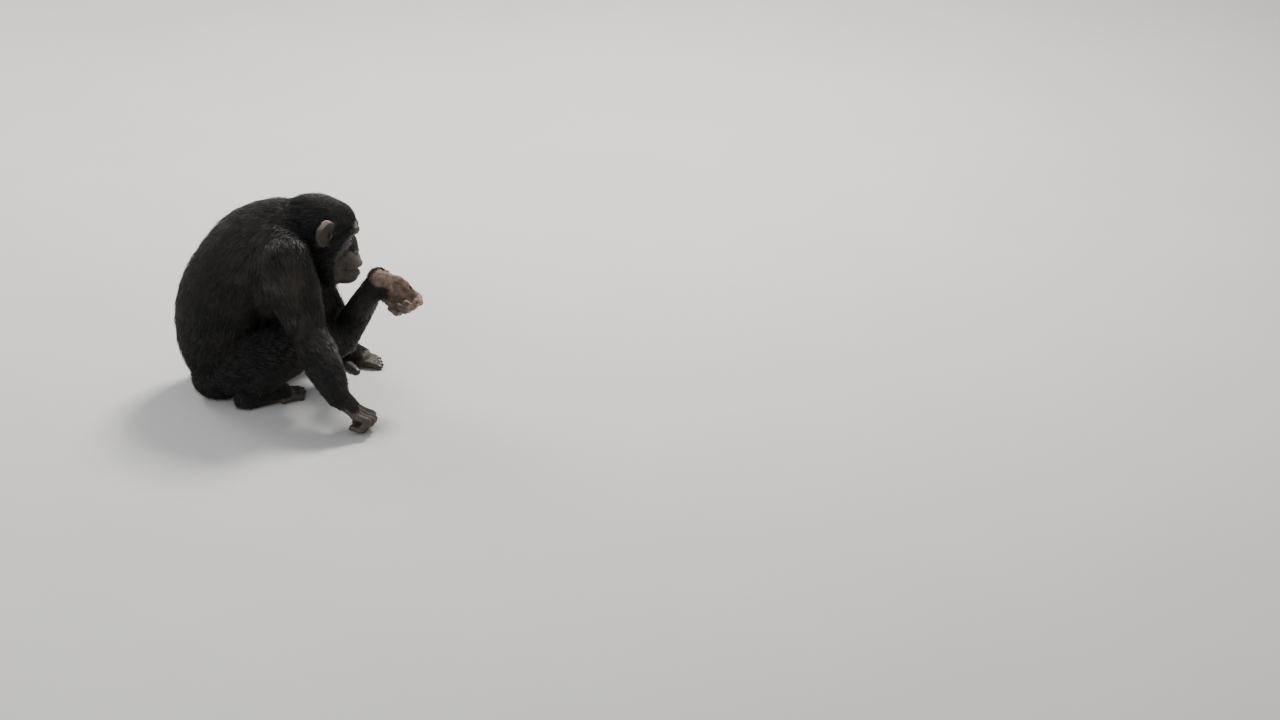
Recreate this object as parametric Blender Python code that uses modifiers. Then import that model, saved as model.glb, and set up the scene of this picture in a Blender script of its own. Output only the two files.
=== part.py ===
"""Seated chimpanzee, a still life-size model. Blender 4.5 script, metres, +Z up.

X runs the way the animal faces, Y to its left, and the floor is Z = 0. The origin is on the floor
under the seat. Every body part is one closed solid, and neighbours meet with a gap of 0.3 mm.
"""

import math

import bmesh
import bpy
import numpy as np
from mathutils import Euler, Matrix, Vector
from mathutils.bvhtree import BVHTree

# Gap between neighbours, and how far the resting parts reach below the floor before they are cut flat
GAP = 0.0003
PRESS = 0.004

# Trunk: stations up its middle line as (centre, half width, half depth)
SEAT = ((-0.020, 0.0, 0.060), 0.112, 0.088)
LOIN = ((-0.040, 0.0, 0.150), 0.132, 0.108)
WAIST = ((-0.025, 0.0, 0.250), 0.136, 0.122)
RIBS = ((0.016, 0.0, 0.345), 0.146, 0.114)
BREAST = ((0.068, 0.0, 0.420), 0.140, 0.102)
COLLAR = ((0.130, 0.0, 0.466), 0.100, 0.080)
NECK = ((0.185, 0.0, 0.474), 0.076, 0.070)
NAPE = ((0.232, 0.0, 0.468), 0.064, 0.058)
SHOULDER_PAD = (0.075, 0.070, 0.085)
BUTTOCK_PAD = (0.075, 0.062, 0.062)
BUTTOCK = (-0.035, 0.070, 0.058)
FLANK_PAD = (0.060, 0.078, 0.095)

# Joints of the limbs, right then left
SHOULDER = ((0.162, -0.128, 0.428), (0.132, 0.115, 0.375))
ELBOW = ((0.219, -0.165, 0.236), (0.291, 0.030, 0.121))
WRIST = ((0.306, -0.290, 0.104), (0.406, -0.045, 0.337))
HIP = ((0.020, -0.080, 0.095), (0.020, 0.085, 0.100))
KNEE = ((0.210, -0.125, 0.174), (0.195, 0.165, 0.240))
ANKLE = ((0.062, -0.132, 0.055), (0.250, 0.165, 0.058))

# How far the solid core of the coat lies below the outline that the sizes here give
CORE_DEPTH = 0.0065

# Locks over the core: for each body part their number, length and half width, then each lock's sections
# as (share of its length, share of its half width, height over the core), its tip and its thickness
LOCKS = {
    "head": (14, 0.060, 0.022),
    "neck": (6, 0.085, 0.032),
    "chest": (26, 0.120, 0.036),
    "belly": (16, 0.120, 0.036),
    "pelvis": (14, 0.110, 0.036),
    "upper_arm": (10, 0.105, 0.030),
    "forearm": (8, 0.075, 0.022),
    "thigh": (7, 0.100, 0.034),
    "shin": (4, 0.070, 0.024),
}
LOCK_SECTIONS = ((0.0, 0.5, -0.0060), (0.33, 1.0, 0.0045), (0.66, 0.8, 0.0055))
LOCK_TIP = 0.0070
LOCK_THICK = 0.0035
LOCK_CLEAR = 0.0008
LOCK_SHARES = (1, 0.8, 0.6, 0.45)
ROOT_CLEAR = 0.008
SPREAD_TRIES = 60
LOCK_SEED = 16

# Half widths of the limbs, coat included
ARM_TOP = 0.068
ARM_MIDDLE = 0.066
ARM_ELBOW = 0.049
FOREARM_TOP = (0.053, 0.043)
FOREARM_MIDDLE = (0.049, 0.038)
WRIST_HALF = (0.034, 0.031)
THIGH_TOP = 0.082
THIGH_MIDDLE = 0.074
KNEE_HALF = 0.052
CALF_HALF = 0.048
SHIN_HALF = 0.042

# Hands: bones from the knuckles out, for an index finger of full length, and how each is held
PALM_LENGTH = 0.067
PALM_PLACES = (-0.010, PALM_LENGTH * 0.45, PALM_LENGTH - 0.006)
PALM_HALVES = ((0.028, 0.022), (0.037, 0.020), (0.040, 0.015))
FINGER_BONES = (0.050, 0.038, 0.024)
FINGER_LENGTH = (0.96, 1.05, 1.0, 0.86)
FINGER_STAGGER = (0.000, 0.000, 0.003, 0.008)
FINGER_HALF = 0.0104
FINGER_ROW = 0.0206
THUMB_BONES = (0.032, 0.022, 0.015)
THUMB_HALF = 0.0094
THUMB_ROOT = (0.012, 0.024, -0.008)
THUMB_WAY = (0.75, 0.55, -0.35)
HAND_ALONG = ((0.70, 0.02, -0.71), (0.74, -0.02, -0.67))
HAND_BACK = ((0.71, 0.00, 0.70), (0.10, 0.95, -0.25))
HAND_BENDS = (
    ((-18, 108, 62), (-18, 108, 62), (-18, 108, 62), (-18, 108, 62)),
    ((0, 84, 44), (8, 94, 55), (12, 96, 55), (16, 96, 55)),
)
THUMB_BENDS = ((10, 25, 20), (5, 30, 20))

# Feet: length, half widths, heights, toe bones, and the way each foot points in degrees from X
FOOT_LENGTH = 0.185
HEEL_REACH = 0.022
HEEL_HALF = 0.026
INSTEP_REACH = 0.045
INSTEP_HEIGHT = 0.030
INSTEP_HALVES = (0.031, 0.033)
BALL_SHARE = 0.52
BALL_HEIGHT = 0.019
BALL_HALVES = (0.034, 0.022)
TOE_HALF = 0.0100
TOE_ROW = 0.0160
TOE_STEP = 0.006
TOE_RISE = 0.005
TOE_TAPER = 0.06
TOE_BONES = (0.030, 0.018, 0.013)
TOE_BENDS = (-4, 14, 14)
BIG_TOE_HALF = 0.0125
BIG_TOE_BONES = (0.034, 0.022, 0.014)
BIG_TOE_BENDS = (2, 6, 6)
BIG_TOE_SHARE = 0.24
BIG_TOE_ASIDE = 0.022
BIG_TOE_RISE = 0.004
BIG_TOE_WAY = (0.80, 0.60)
FOOT_HEADING = (28, -16)

# Head: where the middle of the line between the ear holes is, how far the face is turned down, and its size
HEAD_PLACE = (0.240, 0.0, 0.452)
HEAD_PITCH = math.radians(14)
HEAD_YAW = math.radians(8)
HEAD_SIZE = 1.12
EYE_PLACE = (0.0690, 0.0240, 0.0120)
EYE_RADIUS = 0.0115
LID = 0.0028
LID_OPENING = (0.0085, 0.0092, 0.0052)
NOSTRIL = (0.0050, 0.0036, 0.0028)
MOUTH_HEIGHT = -0.0700
MOUTH_REACH = 78
MOUTH_LINE = 0.0016
EAR_PLACE = (0.008, 0.067, 0.029)
EAR_HALF_LONG = 0.026
EAR_HALF_HIGH = 0.035
EAR_DISH = 0.009
EAR_RIM = 0.0040
CUT_FINENESS = 10

# The head's forms in its own frame: rounded masses as (middle, half sizes, degrees about X, Y and Z), the
# lines of brow and lips from the middle to one side, and the sections of the nose
HEAD_MASSES = {
    "skull": ((-0.004, 0, 0.034), (0.085, 0.063, 0.058), (0, 0, 0)),
    "forehead": ((0.030, 0, 0.042), (0.054, 0.054, 0.044), (0, 0, 0)),
    "face": ((0.041, 0, 0.006), (0.048, 0.055, 0.050), (0, 0, 0)),
    "muzzle": ((0.080, 0, -0.046), (0.041, 0.038, 0.028), (0, 18, 0)),
    "chin": ((0.080, 0, -0.086), (0.042, 0.035, 0.028), (0, 8, 0)),
    "throat": ((0.050, 0, -0.092), (0.042, 0.040, 0.034), (0, 0, 0)),
    "jaw": ((0.022, 0, -0.050), (0.060, 0.052, 0.040), (0, 18, 0)),
    "left cheek": ((0.026, 0.038, -0.020), (0.042, 0.018, 0.040), (0, 0, 0)),
    "right cheek": ((0.026, -0.038, -0.020), (0.042, 0.018, 0.040), (0, 0, 0)),
}
BROW_LINE = ((0.084, 0, 0.032), (0.084, 0.024, 0.036), (0.062, 0.046, 0.028), (0.050, 0.053, 0.012))
BROW_HALF = 0.0100
UPPER_LIP_LINE = ((0.117, 0, -0.056), (0.096, 0.026, -0.060))
LOWER_LIP_LINE = ((0.118, 0, -0.081), (0.097, 0.024, -0.083))
LIP_HALF = 0.0085
NOSE = (
    ((0.070, 0, 0.020), 0.012, 0.013),
    ((0.090, 0, -0.006), 0.012, 0.013),
    ((0.100, 0, -0.027), 0.018, 0.010),
)
HAIRLINE_DEPTH = 0.040
HAIRLINE_HEIGHT = 0.062

# Voxels in which forms are melted together, and the triangles of each form before the cuts
TRUNK_VOXEL = 0.0080
THIGH_VOXEL = 0.0060
LIMB_VOXEL = 0.0045
HEAD_VOXEL = 0.0028
EAR_VOXEL = 0.0020
TRUNK_TRIANGLES = 1060
HEAD_TRIANGLES = 1360
ARM_TRIANGLES = 880
THIGH_TRIANGLES = 220
SHIN_TRIANGLES = 660
EAR_TRIANGLES = 220

# Colours: coat, bare face, hands and feet, ears, eyes
COAT = (0.022, 0.020, 0.019)
FACE = (0.130, 0.095, 0.075)
PALM = (0.210, 0.140, 0.100)
EAR = (0.420, 0.310, 0.250)
IRIS = (0.060, 0.028, 0.012)


def clear_scene():
    """Removes what the scene holds, so that the script can be run again."""
    for thing in list(bpy.data.objects):
        bpy.data.objects.remove(thing, do_unlink=True)


def new_collection(name, shown):
    """A collection for the parts, or a hidden one for the shapes that they are made from."""
    collection = bpy.data.collections.new(name)
    collection.hide_render = not shown
    bpy.context.scene.collection.children.link(collection)
    return collection


def new_object(name, mesh, collection):
    """An object of this mesh in the collection."""
    thing = bpy.data.objects.new(name, mesh)
    collection.objects.link(thing)
    return thing


def material(name, colour, roughness):
    """A plain Principled material."""
    made = bpy.data.materials.new(name)
    made.use_nodes = True
    principled = made.node_tree.nodes["Principled BSDF"]
    principled.inputs["Base Color"].default_value = (*colour, 1)
    principled.inputs["Roughness"].default_value = roughness
    principled.inputs["Metallic"].default_value = 0
    made.diffuse_color = (*colour, 1)
    return made


def between(a, b, share):
    """The point at this share of the way from a to b."""
    return Vector(a).lerp(Vector(b), share)


def smooth_curve(rows, steps):
    """Rows on the Catmull-Rom curve through the given rows, `steps` to a span."""
    rows = np.array(rows, float)
    ends = np.vstack([2 * rows[0] - rows[1], rows, 2 * rows[-1] - rows[-2]])
    made = []
    for a, b, c, d in zip(ends, ends[1:], ends[2:], ends[3:]):
        for t in np.arange(steps) / steps:
            linear = (c - a) * t
            square = (2 * a - 5 * b + 4 * c - d) * t**2
            cube = (3 * b - a - 3 * c + d) * t**3
            made.append(b + 0.5 * (linear + square + cube))
    made.append(rows[-1])
    return np.array(made)


def loft(stations, across=(0, 1, 0), ring=20, steps=4):
    """A closed bmesh through elliptical sections, with domed ends.

    A station is (centre, half width along `across`, half depth).
    """
    rows = smooth_curve([(*centre, width, depth) for centre, width, depth in stations], steps)
    centres = [Vector(row[:3]) for row in rows]
    sections = []
    for i, row in enumerate(rows):
        along = (centres[min(i + 1, len(rows) - 1)] - centres[max(i - 1, 0)]).normalized()
        side = Vector(across)
        side = (side - along * side.dot(along)).normalized()
        sections.append((centres[i], along, side, along.cross(side), row[3], row[4]))
    domes = []
    for section, way in ((sections[0], -1), (sections[-1], 1)):
        centre, along, side, up, width, depth = section
        reach = min(width, depth) * way
        rings = []
        for angle in (math.pi / 8, math.pi / 4, 3 * math.pi / 8):
            shrink = math.cos(angle)
            shifted = centre + along * reach * math.sin(angle)
            rings.append((shifted, along, side, up, width * shrink, depth * shrink))
        domes.append((rings, centre + along * reach))
    sections = domes[0][0][::-1] + sections + domes[1][0]
    shape = bmesh.new()
    circles = []
    for centre, _, side, up, width, depth in sections:
        circle = []
        for turn in np.arange(ring) * 2 * math.pi / ring:
            spot = centre + side * width * math.cos(turn) + up * depth * math.sin(turn)
            circle.append(shape.verts.new(spot))
        circles.append(circle)
    for low, high in zip(circles, circles[1:]):
        for k in range(ring):
            after = (k + 1) % ring
            shape.faces.new((low[k], low[after], high[after], high[k]))
    for circle, tip in ((circles[0], domes[0][1]), (circles[-1], domes[1][1])):
        pole = shape.verts.new(tip)
        for k in range(ring):
            shape.faces.new((circle[k], circle[(k + 1) % ring], pole))
    bmesh.ops.recalc_face_normals(shape, faces=shape.faces)
    return shape


def tube(points, half, across=(0, 0, 1), ring=12, steps=4):
    """A round bar of one half width through these points."""
    return loft([(point, half, half) for point in points], across, ring, steps)


def ball(centre, half, turn=(0, 0, 0), fineness=24):
    """An ellipsoid bmesh with these half sizes, turned by Euler angles in degrees."""
    shape = bmesh.new()
    bmesh.ops.create_uvsphere(shape, u_segments=fineness, v_segments=fineness // 2 + 2, radius=1)
    place = Matrix.Translation(centre) @ Euler([math.radians(angle) for angle in turn]).to_matrix().to_4x4()
    bmesh.ops.transform(shape, matrix=place @ Matrix.Diagonal((*half, 1)), verts=shape.verts)
    return shape


def joined(shapes, move=None):
    """One mesh of all these bmeshes, moved by a matrix where one is given."""
    mesh = bpy.data.meshes.new("shape")
    whole = bmesh.new()
    for shape in shapes:
        shape.to_mesh(mesh)
        whole.from_mesh(mesh)
        shape.free()
    if move:
        bmesh.ops.transform(whole, matrix=move, verts=whole.verts)
    bmesh.ops.recalc_face_normals(whole, faces=whole.faces)
    whole.to_mesh(mesh)
    whole.free()
    return mesh


def evaluated(thing):
    """The object's mesh with its modifiers applied, and the object removed."""
    graph = bpy.context.evaluated_depsgraph_get()
    mesh = bpy.data.meshes.new_from_object(thing.evaluated_get(graph))
    bpy.data.objects.remove(thing, do_unlink=True)
    return mesh


def largest_surface(mesh):
    """Drops every closed surface of the mesh but the largest, and splits its faces into triangles."""
    shape = bmesh.new()
    shape.from_mesh(mesh)
    left = set(shape.verts)
    groups = []
    while left:
        group = [left.pop()]
        for vert in group:
            near = {edge.other_vert(vert) for edge in vert.link_edges} & left
            left -= near
            group.extend(near)
        groups.append(group)
    groups.sort(key=len)
    for group in groups[:-1]:
        bmesh.ops.delete(shape, geom=group, context="VERTS")
    bmesh.ops.triangulate(shape, faces=shape.faces)
    shape.to_mesh(mesh)
    shape.free()
    return mesh


def moulded(mesh, voxel, passes, triangles):
    """The mesh's forms melted into one skin by a voxel remesh, then smoothed and thinned out."""
    thing = new_object("moulding", mesh, bpy.data.collections["helpers"])
    remesh = thing.modifiers.new("remesh", "REMESH")
    remesh.mode = "VOXEL"
    remesh.voxel_size = voxel
    smooth = thing.modifiers.new("smooth", "SMOOTH")
    smooth.factor = 0.5
    smooth.iterations = passes
    made = evaluated(thing)
    made.calc_loop_triangles()
    share = triangles / len(made.loop_triangles)
    thing = new_object("moulding", made, bpy.data.collections["helpers"])
    thin = thing.modifiers.new("thin", "DECIMATE")
    thin.ratio = min(1, share)
    return largest_surface(evaluated(thing))


def boolean(mesh, other, operation):
    """The mesh united with, cut by or kept inside the other, which is used up."""
    thing = new_object("worked", mesh, bpy.data.collections["helpers"])
    tool = new_object("tool", other, bpy.data.collections["helpers"])
    step = thing.modifiers.new("step", "BOOLEAN")
    step.operation = operation
    step.object = tool
    step.solver = "MANIFOLD"
    made = evaluated(thing)
    bpy.data.objects.remove(tool, do_unlink=True)
    return largest_surface(made)


def grown(mesh, amount):
    """A copy of the mesh with every point moved out along its normal."""
    copy = mesh.copy()
    shape = bmesh.new()
    shape.from_mesh(copy)
    shape.normal_update()
    for vert in shape.verts:
        vert.co += vert.normal * amount
    shape.to_mesh(copy)
    shape.free()
    return copy


def half_space(point, normal):
    """A large block with one face through the point, on the side that the normal shows."""
    reach = 2.0
    normal = Vector(normal).normalized()
    shape = bmesh.new()
    bmesh.ops.create_cube(shape, size=reach)
    turn = normal.to_track_quat("Z", "Y").to_matrix().to_4x4()
    place = Matrix.Translation(Vector(point) + normal * reach / 2) @ turn
    bmesh.ops.transform(shape, matrix=place, verts=shape.verts)
    return joined([shape])


def parted(mesh, cuts):
    """The mesh in one more piece than there are cuts. A cut is (point, normal towards the next piece)."""
    pieces = []
    rest = mesh
    for point, normal in cuts:
        normal = Vector(normal).normalized()
        near = Vector(point) - normal * GAP / 2
        far = Vector(point) + normal * GAP / 2
        pieces.append(boolean(rest.copy(), half_space(near, -normal), "INTERSECT"))
        rest = boolean(rest, half_space(far, normal), "INTERSECT")
    pieces.append(rest)
    return pieces


def bisector(before, joint, after):
    """The normal of the plane that halves the angle of a joint, towards the far side."""
    inward = (Vector(joint) - Vector(before)).normalized()
    outward = (Vector(after) - Vector(joint)).normalized()
    return inward + outward


def cored(stations):
    """The stations of a loft drawn in by the depth of the coat over its core."""
    return [(centre, width - CORE_DEPTH, depth - CORE_DEPTH) for centre, width, depth in stations]


def trunk_parts():
    """Pelvis, belly, chest and neck, parted by thin cuts across the trunk."""
    shapes = [loft(cored([SEAT, LOIN, WAIST, RIBS, BREAST, COLLAR, NECK, NAPE]))]
    x, y, z = BUTTOCK
    shoulder_half = [half - CORE_DEPTH for half in SHOULDER_PAD]
    buttock_half = [half - CORE_DEPTH for half in BUTTOCK_PAD]
    for side, shoulder, elbow in zip((-1, 1), SHOULDER, ELBOW):
        shapes.append(ball(between(RIBS[0], between(shoulder, elbow, 0.4), 0.66), FLANK_PAD))
        shapes.append(ball(between(shoulder, BREAST[0], 0.35), shoulder_half, (0, 20, 0)))
        shapes.append(ball((x, side * y, z), buttock_half))
    mesh = moulded(joined(shapes), TRUNK_VOXEL, 8, TRUNK_TRIANGLES)
    waist_cut = (between(LOIN[0], WAIST[0], 0.5), Vector(RIBS[0]) - Vector(LOIN[0]))
    rib_cut = (between(WAIST[0], RIBS[0], 0.8), Vector(BREAST[0]) - Vector(WAIST[0]))
    collar_cut = (between(COLLAR[0], NECK[0], 0.45), Vector(NECK[0]) - Vector(COLLAR[0]))
    return dict(zip(("pelvis", "belly", "chest", "neck"), parted(mesh, [waist_cut, rib_cut, collar_cut])))


def bent(direction, towards, degrees):
    """The direction turned by some degrees towards another one at right angles to it."""
    turn = math.radians(degrees)
    return direction * math.cos(turn) + towards * math.sin(turn)


def finger(root, along, inward, across, bones, bends, half):
    """One finger or toe: bones in a row, each bent towards `inward` from the one before."""
    point = Vector(root)
    stations = [(point, half * 1.1, half * 1.15)]
    for bone, bend in zip(bones, bends):
        along, inward = bent(along, inward, bend), bent(inward, -along, bend)
        stations.append((point + along * bone * 0.5, half * 0.92, half * 0.92))
        point = point + along * bone
        stations.append((point, half, half))
        half *= 0.95
    return loft(stations, across, 12, 2)


def hand(side):
    """A hand's forms from its wrist, with one row of bends for each finger."""
    along = Vector(HAND_ALONG[side]).normalized()
    out = Vector(HAND_BACK[side])
    out = (out - along * out.dot(along)).normalized()
    thumb_way = out.cross(along) * (1, -1)[side]
    wrist = Vector(WRIST[side])
    knuckles = wrist + along * PALM_LENGTH
    palm = [(wrist + along * place, *halves) for place, halves in zip(PALM_PLACES, PALM_HALVES)]
    shapes = [loft(palm, thumb_way, 16, 3)]
    for k, bends in enumerate(HAND_BENDS[side]):
        root = knuckles + thumb_way * FINGER_ROW * (1.5 - k) - along * FINGER_STAGGER[k]
        bones = [bone * FINGER_LENGTH[k] for bone in FINGER_BONES]
        shapes.append(finger(root, along, -out, thumb_way, bones, bends, FINGER_HALF))
    ways = Matrix((along, thumb_way, out)).transposed()
    root = wrist + ways @ Vector(THUMB_ROOT)
    way = (ways @ Vector(THUMB_WAY)).normalized()
    inward = (along - way * along.dot(way)).normalized()
    shapes.append(finger(root, way, inward, out, THUMB_BONES, THUMB_BENDS[side], THUMB_HALF))
    return shapes


def foot(side):
    """A foot's forms, flat on the floor under its ankle, with the big toe held apart on the inside."""
    heading = math.radians(FOOT_HEADING[side])
    along = Vector((math.cos(heading), math.sin(heading), 0))
    inside = Vector((-along.y, along.x, 0)) * (1, -1)[side]
    up = Vector((0, 0, 1))
    under = Vector((ANKLE[side][0], ANKLE[side][1], 0))
    front = under + along * FOOT_LENGTH * BALL_SHARE
    sole = [
        (under - along * HEEL_REACH + up * (HEEL_HALF - PRESS), HEEL_HALF, HEEL_HALF),
        (under + along * INSTEP_REACH + up * INSTEP_HEIGHT, *INSTEP_HALVES),
        (front + up * BALL_HEIGHT, *BALL_HALVES),
    ]
    shapes = [loft(sole, inside, 16, 3)]
    for k in range(4):
        root = front + inside * TOE_ROW * (1.35 - k) - along * TOE_STEP * k
        root += up * (TOE_HALF - PRESS + TOE_RISE)
        bones = [bone * (1 - TOE_TAPER * abs(k - 1)) for bone in TOE_BONES]
        shapes.append(finger(root, along, -up, inside, bones, TOE_BENDS, TOE_HALF))
    root = under + along * FOOT_LENGTH * BIG_TOE_SHARE + inside * BIG_TOE_ASIDE
    root += up * (BIG_TOE_HALF - PRESS + BIG_TOE_RISE)
    way = (along * BIG_TOE_WAY[0] + inside * BIG_TOE_WAY[1]).normalized()
    shapes.append(finger(root, way, -up, way.cross(up), BIG_TOE_BONES, BIG_TOE_BENDS, BIG_TOE_HALF))
    return shapes


def arm_parts(side):
    """Upper arm, forearm and hand of one side."""
    shoulder, elbow, wrist = SHOULDER[side], ELBOW[side], WRIST[side]
    upper = [
        (shoulder, ARM_TOP, ARM_TOP),
        (between(shoulder, elbow, 0.5), ARM_MIDDLE, ARM_MIDDLE),
        (elbow, ARM_ELBOW, ARM_ELBOW),
    ]
    lower = [
        (elbow, ARM_ELBOW * 0.94, ARM_ELBOW * 0.94),
        (between(elbow, wrist, 0.35), FOREARM_TOP[side], FOREARM_TOP[side]),
        (between(elbow, wrist, 0.7), FOREARM_MIDDLE[side], FOREARM_MIDDLE[side]),
        (wrist, WRIST_HALF[side], WRIST_HALF[side] * 0.85),
    ]
    shapes = [loft(cored(upper)), loft(cored(lower[:-1]) + lower[-1:])] + hand(side)
    mesh = moulded(joined(shapes), LIMB_VOXEL, 4, ARM_TRIANGLES)
    palm_end = Vector(wrist) + Vector(HAND_ALONG[side]) * PALM_LENGTH
    cuts = [(elbow, bisector(shoulder, elbow, wrist)), (wrist, bisector(elbow, wrist, palm_end))]
    return dict(zip(("upper_arm", "forearm", "hand"), parted(mesh, cuts)))


def leg_parts(side):
    """Thigh, shin and foot of one side."""
    hip, knee, ankle = HIP[side], KNEE[side], ANKLE[side]
    thigh = [
        (hip, THIGH_TOP, THIGH_TOP),
        (between(hip, knee, 0.5), THIGH_MIDDLE, THIGH_MIDDLE),
        (knee, KNEE_HALF, KNEE_HALF),
    ]
    shin = [
        (knee, KNEE_HALF * 0.95, KNEE_HALF * 0.95),
        (between(knee, ankle, 0.35), CALF_HALF, CALF_HALF),
        (between(knee, ankle, 0.75), SHIN_HALF, SHIN_HALF),
        (ankle, SHIN_HALF * 0.95, SHIN_HALF * 0.95),
    ]
    upper = moulded(joined([loft(cored(thigh))]), THIGH_VOXEL, 4, THIGH_TRIANGLES)
    lower = moulded(joined([loft(cored(shin))] + foot(side)), LIMB_VOXEL, 4, SHIN_TRIANGLES)
    pieces = [upper] + parted(lower, [(between(knee, ankle, 0.86), Vector(ankle) - Vector(knee))])
    return dict(zip(("thigh", "shin", "foot"), pieces))


def head_matrix():
    """From the head's own frame (X forward, Y left, Z up, origin between the ear holes) to the world."""
    turn = Euler((0, HEAD_PITCH, HEAD_YAW)).to_matrix().to_4x4()
    return Matrix.Translation(HEAD_PLACE) @ turn @ Matrix.Scale(HEAD_SIZE, 4)


def eye_place(way):
    """The middle of the eyeball on one side, in the head's own frame."""
    x, y, z = EYE_PLACE
    return Vector((x, way * y, z))


def on_skin(tree, start, way):
    """Where a line from a point of the head's own frame leaves the skin, in the world."""
    origin = head_matrix() @ Vector(start)
    direction = head_matrix().to_3x3() @ Vector(way)
    return tree.ray_cast(origin, direction)[0]


def face_cutters(mesh):
    """What is cut from the head: the openings of the lids, the nostrils and the line of the mouth."""
    shape = bmesh.new()
    shape.from_mesh(mesh)
    tree = BVHTree.FromBMesh(shape)
    shape.free()
    cutters = []
    for way in (-1, 1):
        turned = (0, 0, way * 14)
        front = eye_place(way) + Vector((EYE_RADIUS * 0.95, way * EYE_RADIUS * 0.25, 0))
        cutters.append(joined([ball(front, LID_OPENING, turned, CUT_FINENESS)], head_matrix()))
        nostril = on_skin(tree, (0.080, way * 0.008, -0.030), (1, way * 0.10, -0.12))
        shape = ball((0, 0, 0), NOSTRIL, (0, 30, way * 25), CUT_FINENESS)
        cutters.append(joined([shape], Matrix.Translation(nostril) @ head_matrix().to_3x3().to_4x4()))
    line = []
    for turn in np.radians(np.linspace(-MOUTH_REACH, MOUTH_REACH, 11)):
        line.append(on_skin(tree, (0.060, 0, MOUTH_HEIGHT), (math.cos(turn), math.sin(turn), 0)))
    cutters.append(joined([tube(line, MOUTH_LINE, ring=5, steps=1)]))
    return cutters


def across_face(line):
    """A line that runs from the middle of the face to one side, carried on to the other side."""
    mirrored = [(x, -y, z) for x, y, z in line[:0:-1]]
    return mirrored + list(line)


def head_mesh():
    """Skull, brow, muzzle, lips, jaw and cheeks as one skin."""
    shapes = [ball(*mass) for mass in HEAD_MASSES.values()]
    shapes.append(tube(across_face(BROW_LINE), BROW_HALF))
    shapes.append(tube(across_face(UPPER_LIP_LINE), LIP_HALF))
    shapes.append(tube(across_face(LOWER_LIP_LINE), LIP_HALF))
    shapes.append(loft(NOSE))
    for way in (-1, 1):
        shapes.append(ball(eye_place(way), (EYE_RADIUS + LID,) * 3))
    mesh = moulded(joined(shapes, head_matrix()), HEAD_VOXEL, 9, HEAD_TRIANGLES)
    for cutter in face_cutters(mesh):
        mesh = boolean(mesh, cutter, "DIFFERENCE")
    return mesh


def ear_mesh(way):
    """One ear: a dished plate with a rolled rim, turned a little to the front."""
    x, y, z = EAR_PLACE
    centre = Vector((x, way * y, z))
    back = Vector((-0.80, way * 0.60, 0)).normalized()
    high = Vector((-0.10, way * 0.16, 1)).normalized()
    deep = back.cross(high) * way
    rim = []
    for turn in np.radians(np.linspace(-140, 165, 9)):
        rim.append(centre + high * EAR_HALF_HIGH * math.cos(turn) + back * EAR_HALF_LONG * math.sin(turn))
    turned = Matrix((back, high, deep)).transposed().to_4x4()
    plate = ball((0, 0, 0), (EAR_HALF_LONG, EAR_HALF_HIGH, EAR_DISH))
    cup = ball((0, 0, 0), (EAR_HALF_LONG * 0.70, EAR_HALF_HIGH * 0.72, EAR_DISH), fineness=CUT_FINENESS)
    for shape, out in ((plate, 0.4), (cup, 1.05)):
        place = Matrix.Translation(centre + deep * EAR_DISH * out) @ turned
        bmesh.ops.transform(shape, matrix=place, verts=shape.verts)
    mesh = moulded(joined([tube(rim, EAR_RIM, deep), plate], head_matrix()), EAR_VOXEL, 2, EAR_TRIANGLES)
    return boolean(mesh, joined([cup], head_matrix()), "DIFFERENCE")


def eye_mesh(way):
    """One eyeball."""
    shape = bmesh.new()
    bmesh.ops.create_uvsphere(shape, u_segments=14, v_segments=9, radius=EYE_RADIUS)
    bmesh.ops.translate(shape, verts=shape.verts, vec=eye_place(way))
    return joined([shape], head_matrix())


def bounds(mesh):
    """The mesh's lowest and highest corner."""
    points = np.empty(len(mesh.vertices) * 3)
    mesh.vertices.foreach_get("co", points)
    points = points.reshape(-1, 3)
    return points.min(axis=0), points.max(axis=0)


def fitted(meshes):
    """Cuts each mesh clear of those before it in the list and flat at the floor, and returns them by name."""
    done = {}
    for name, mesh in meshes:
        low, high = bounds(mesh)
        if low[2] < 0:
            mesh = boolean(mesh, half_space((0, 0, 0), (0, 0, 1)), "INTERSECT")
        for other in done.values():
            other_low, other_high = bounds(other)
            if (low < other_high + GAP).all() and (other_low < high + GAP).all():
                mesh = boolean(mesh, grown(other, GAP), "DIFFERENCE")
        done[name] = mesh
    return done


def search_tree(mesh):
    """A search tree of the mesh's faces."""
    shape = bmesh.new()
    shape.from_mesh(mesh)
    tree = BVHTree.FromBMesh(shape)
    shape.free()
    return tree


def lie(part, side, point):
    """The way the coat lies at a point of this body part."""
    limbs = {
        "upper_arm": (SHOULDER, ELBOW),
        "forearm": (WRIST, ELBOW),
        "thigh": (HIP, KNEE),
        "shin": (KNEE, ANKLE),
    }
    if part in limbs:
        start, end = limbs[part]
        return Vector(end[side]) - Vector(start[side])
    if part == "head":
        crown = (head_matrix().inverted() @ point).z > 0
        return head_matrix().to_3x3() @ Vector((-1, 0, -0.15) if crown else (-0.5, 0, -0.85))
    line = [station[0] for station in (NAPE, COLLAR, BREAST, RIBS, WAIST, LOIN, SEAT)]
    upper, lower = min(zip(line, line[1:]), key=lambda span: (between(*span, 0.5) - point).length)
    return Vector(lower) - Vector(upper)


def coated(part, point):
    """Whether the coat is long at this point: on the head only behind the face."""
    if part != "head":
        return True
    place = head_matrix().inverted() @ point
    return place.x < HAIRLINE_DEPTH or place.z > HAIRLINE_HEIGHT


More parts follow.
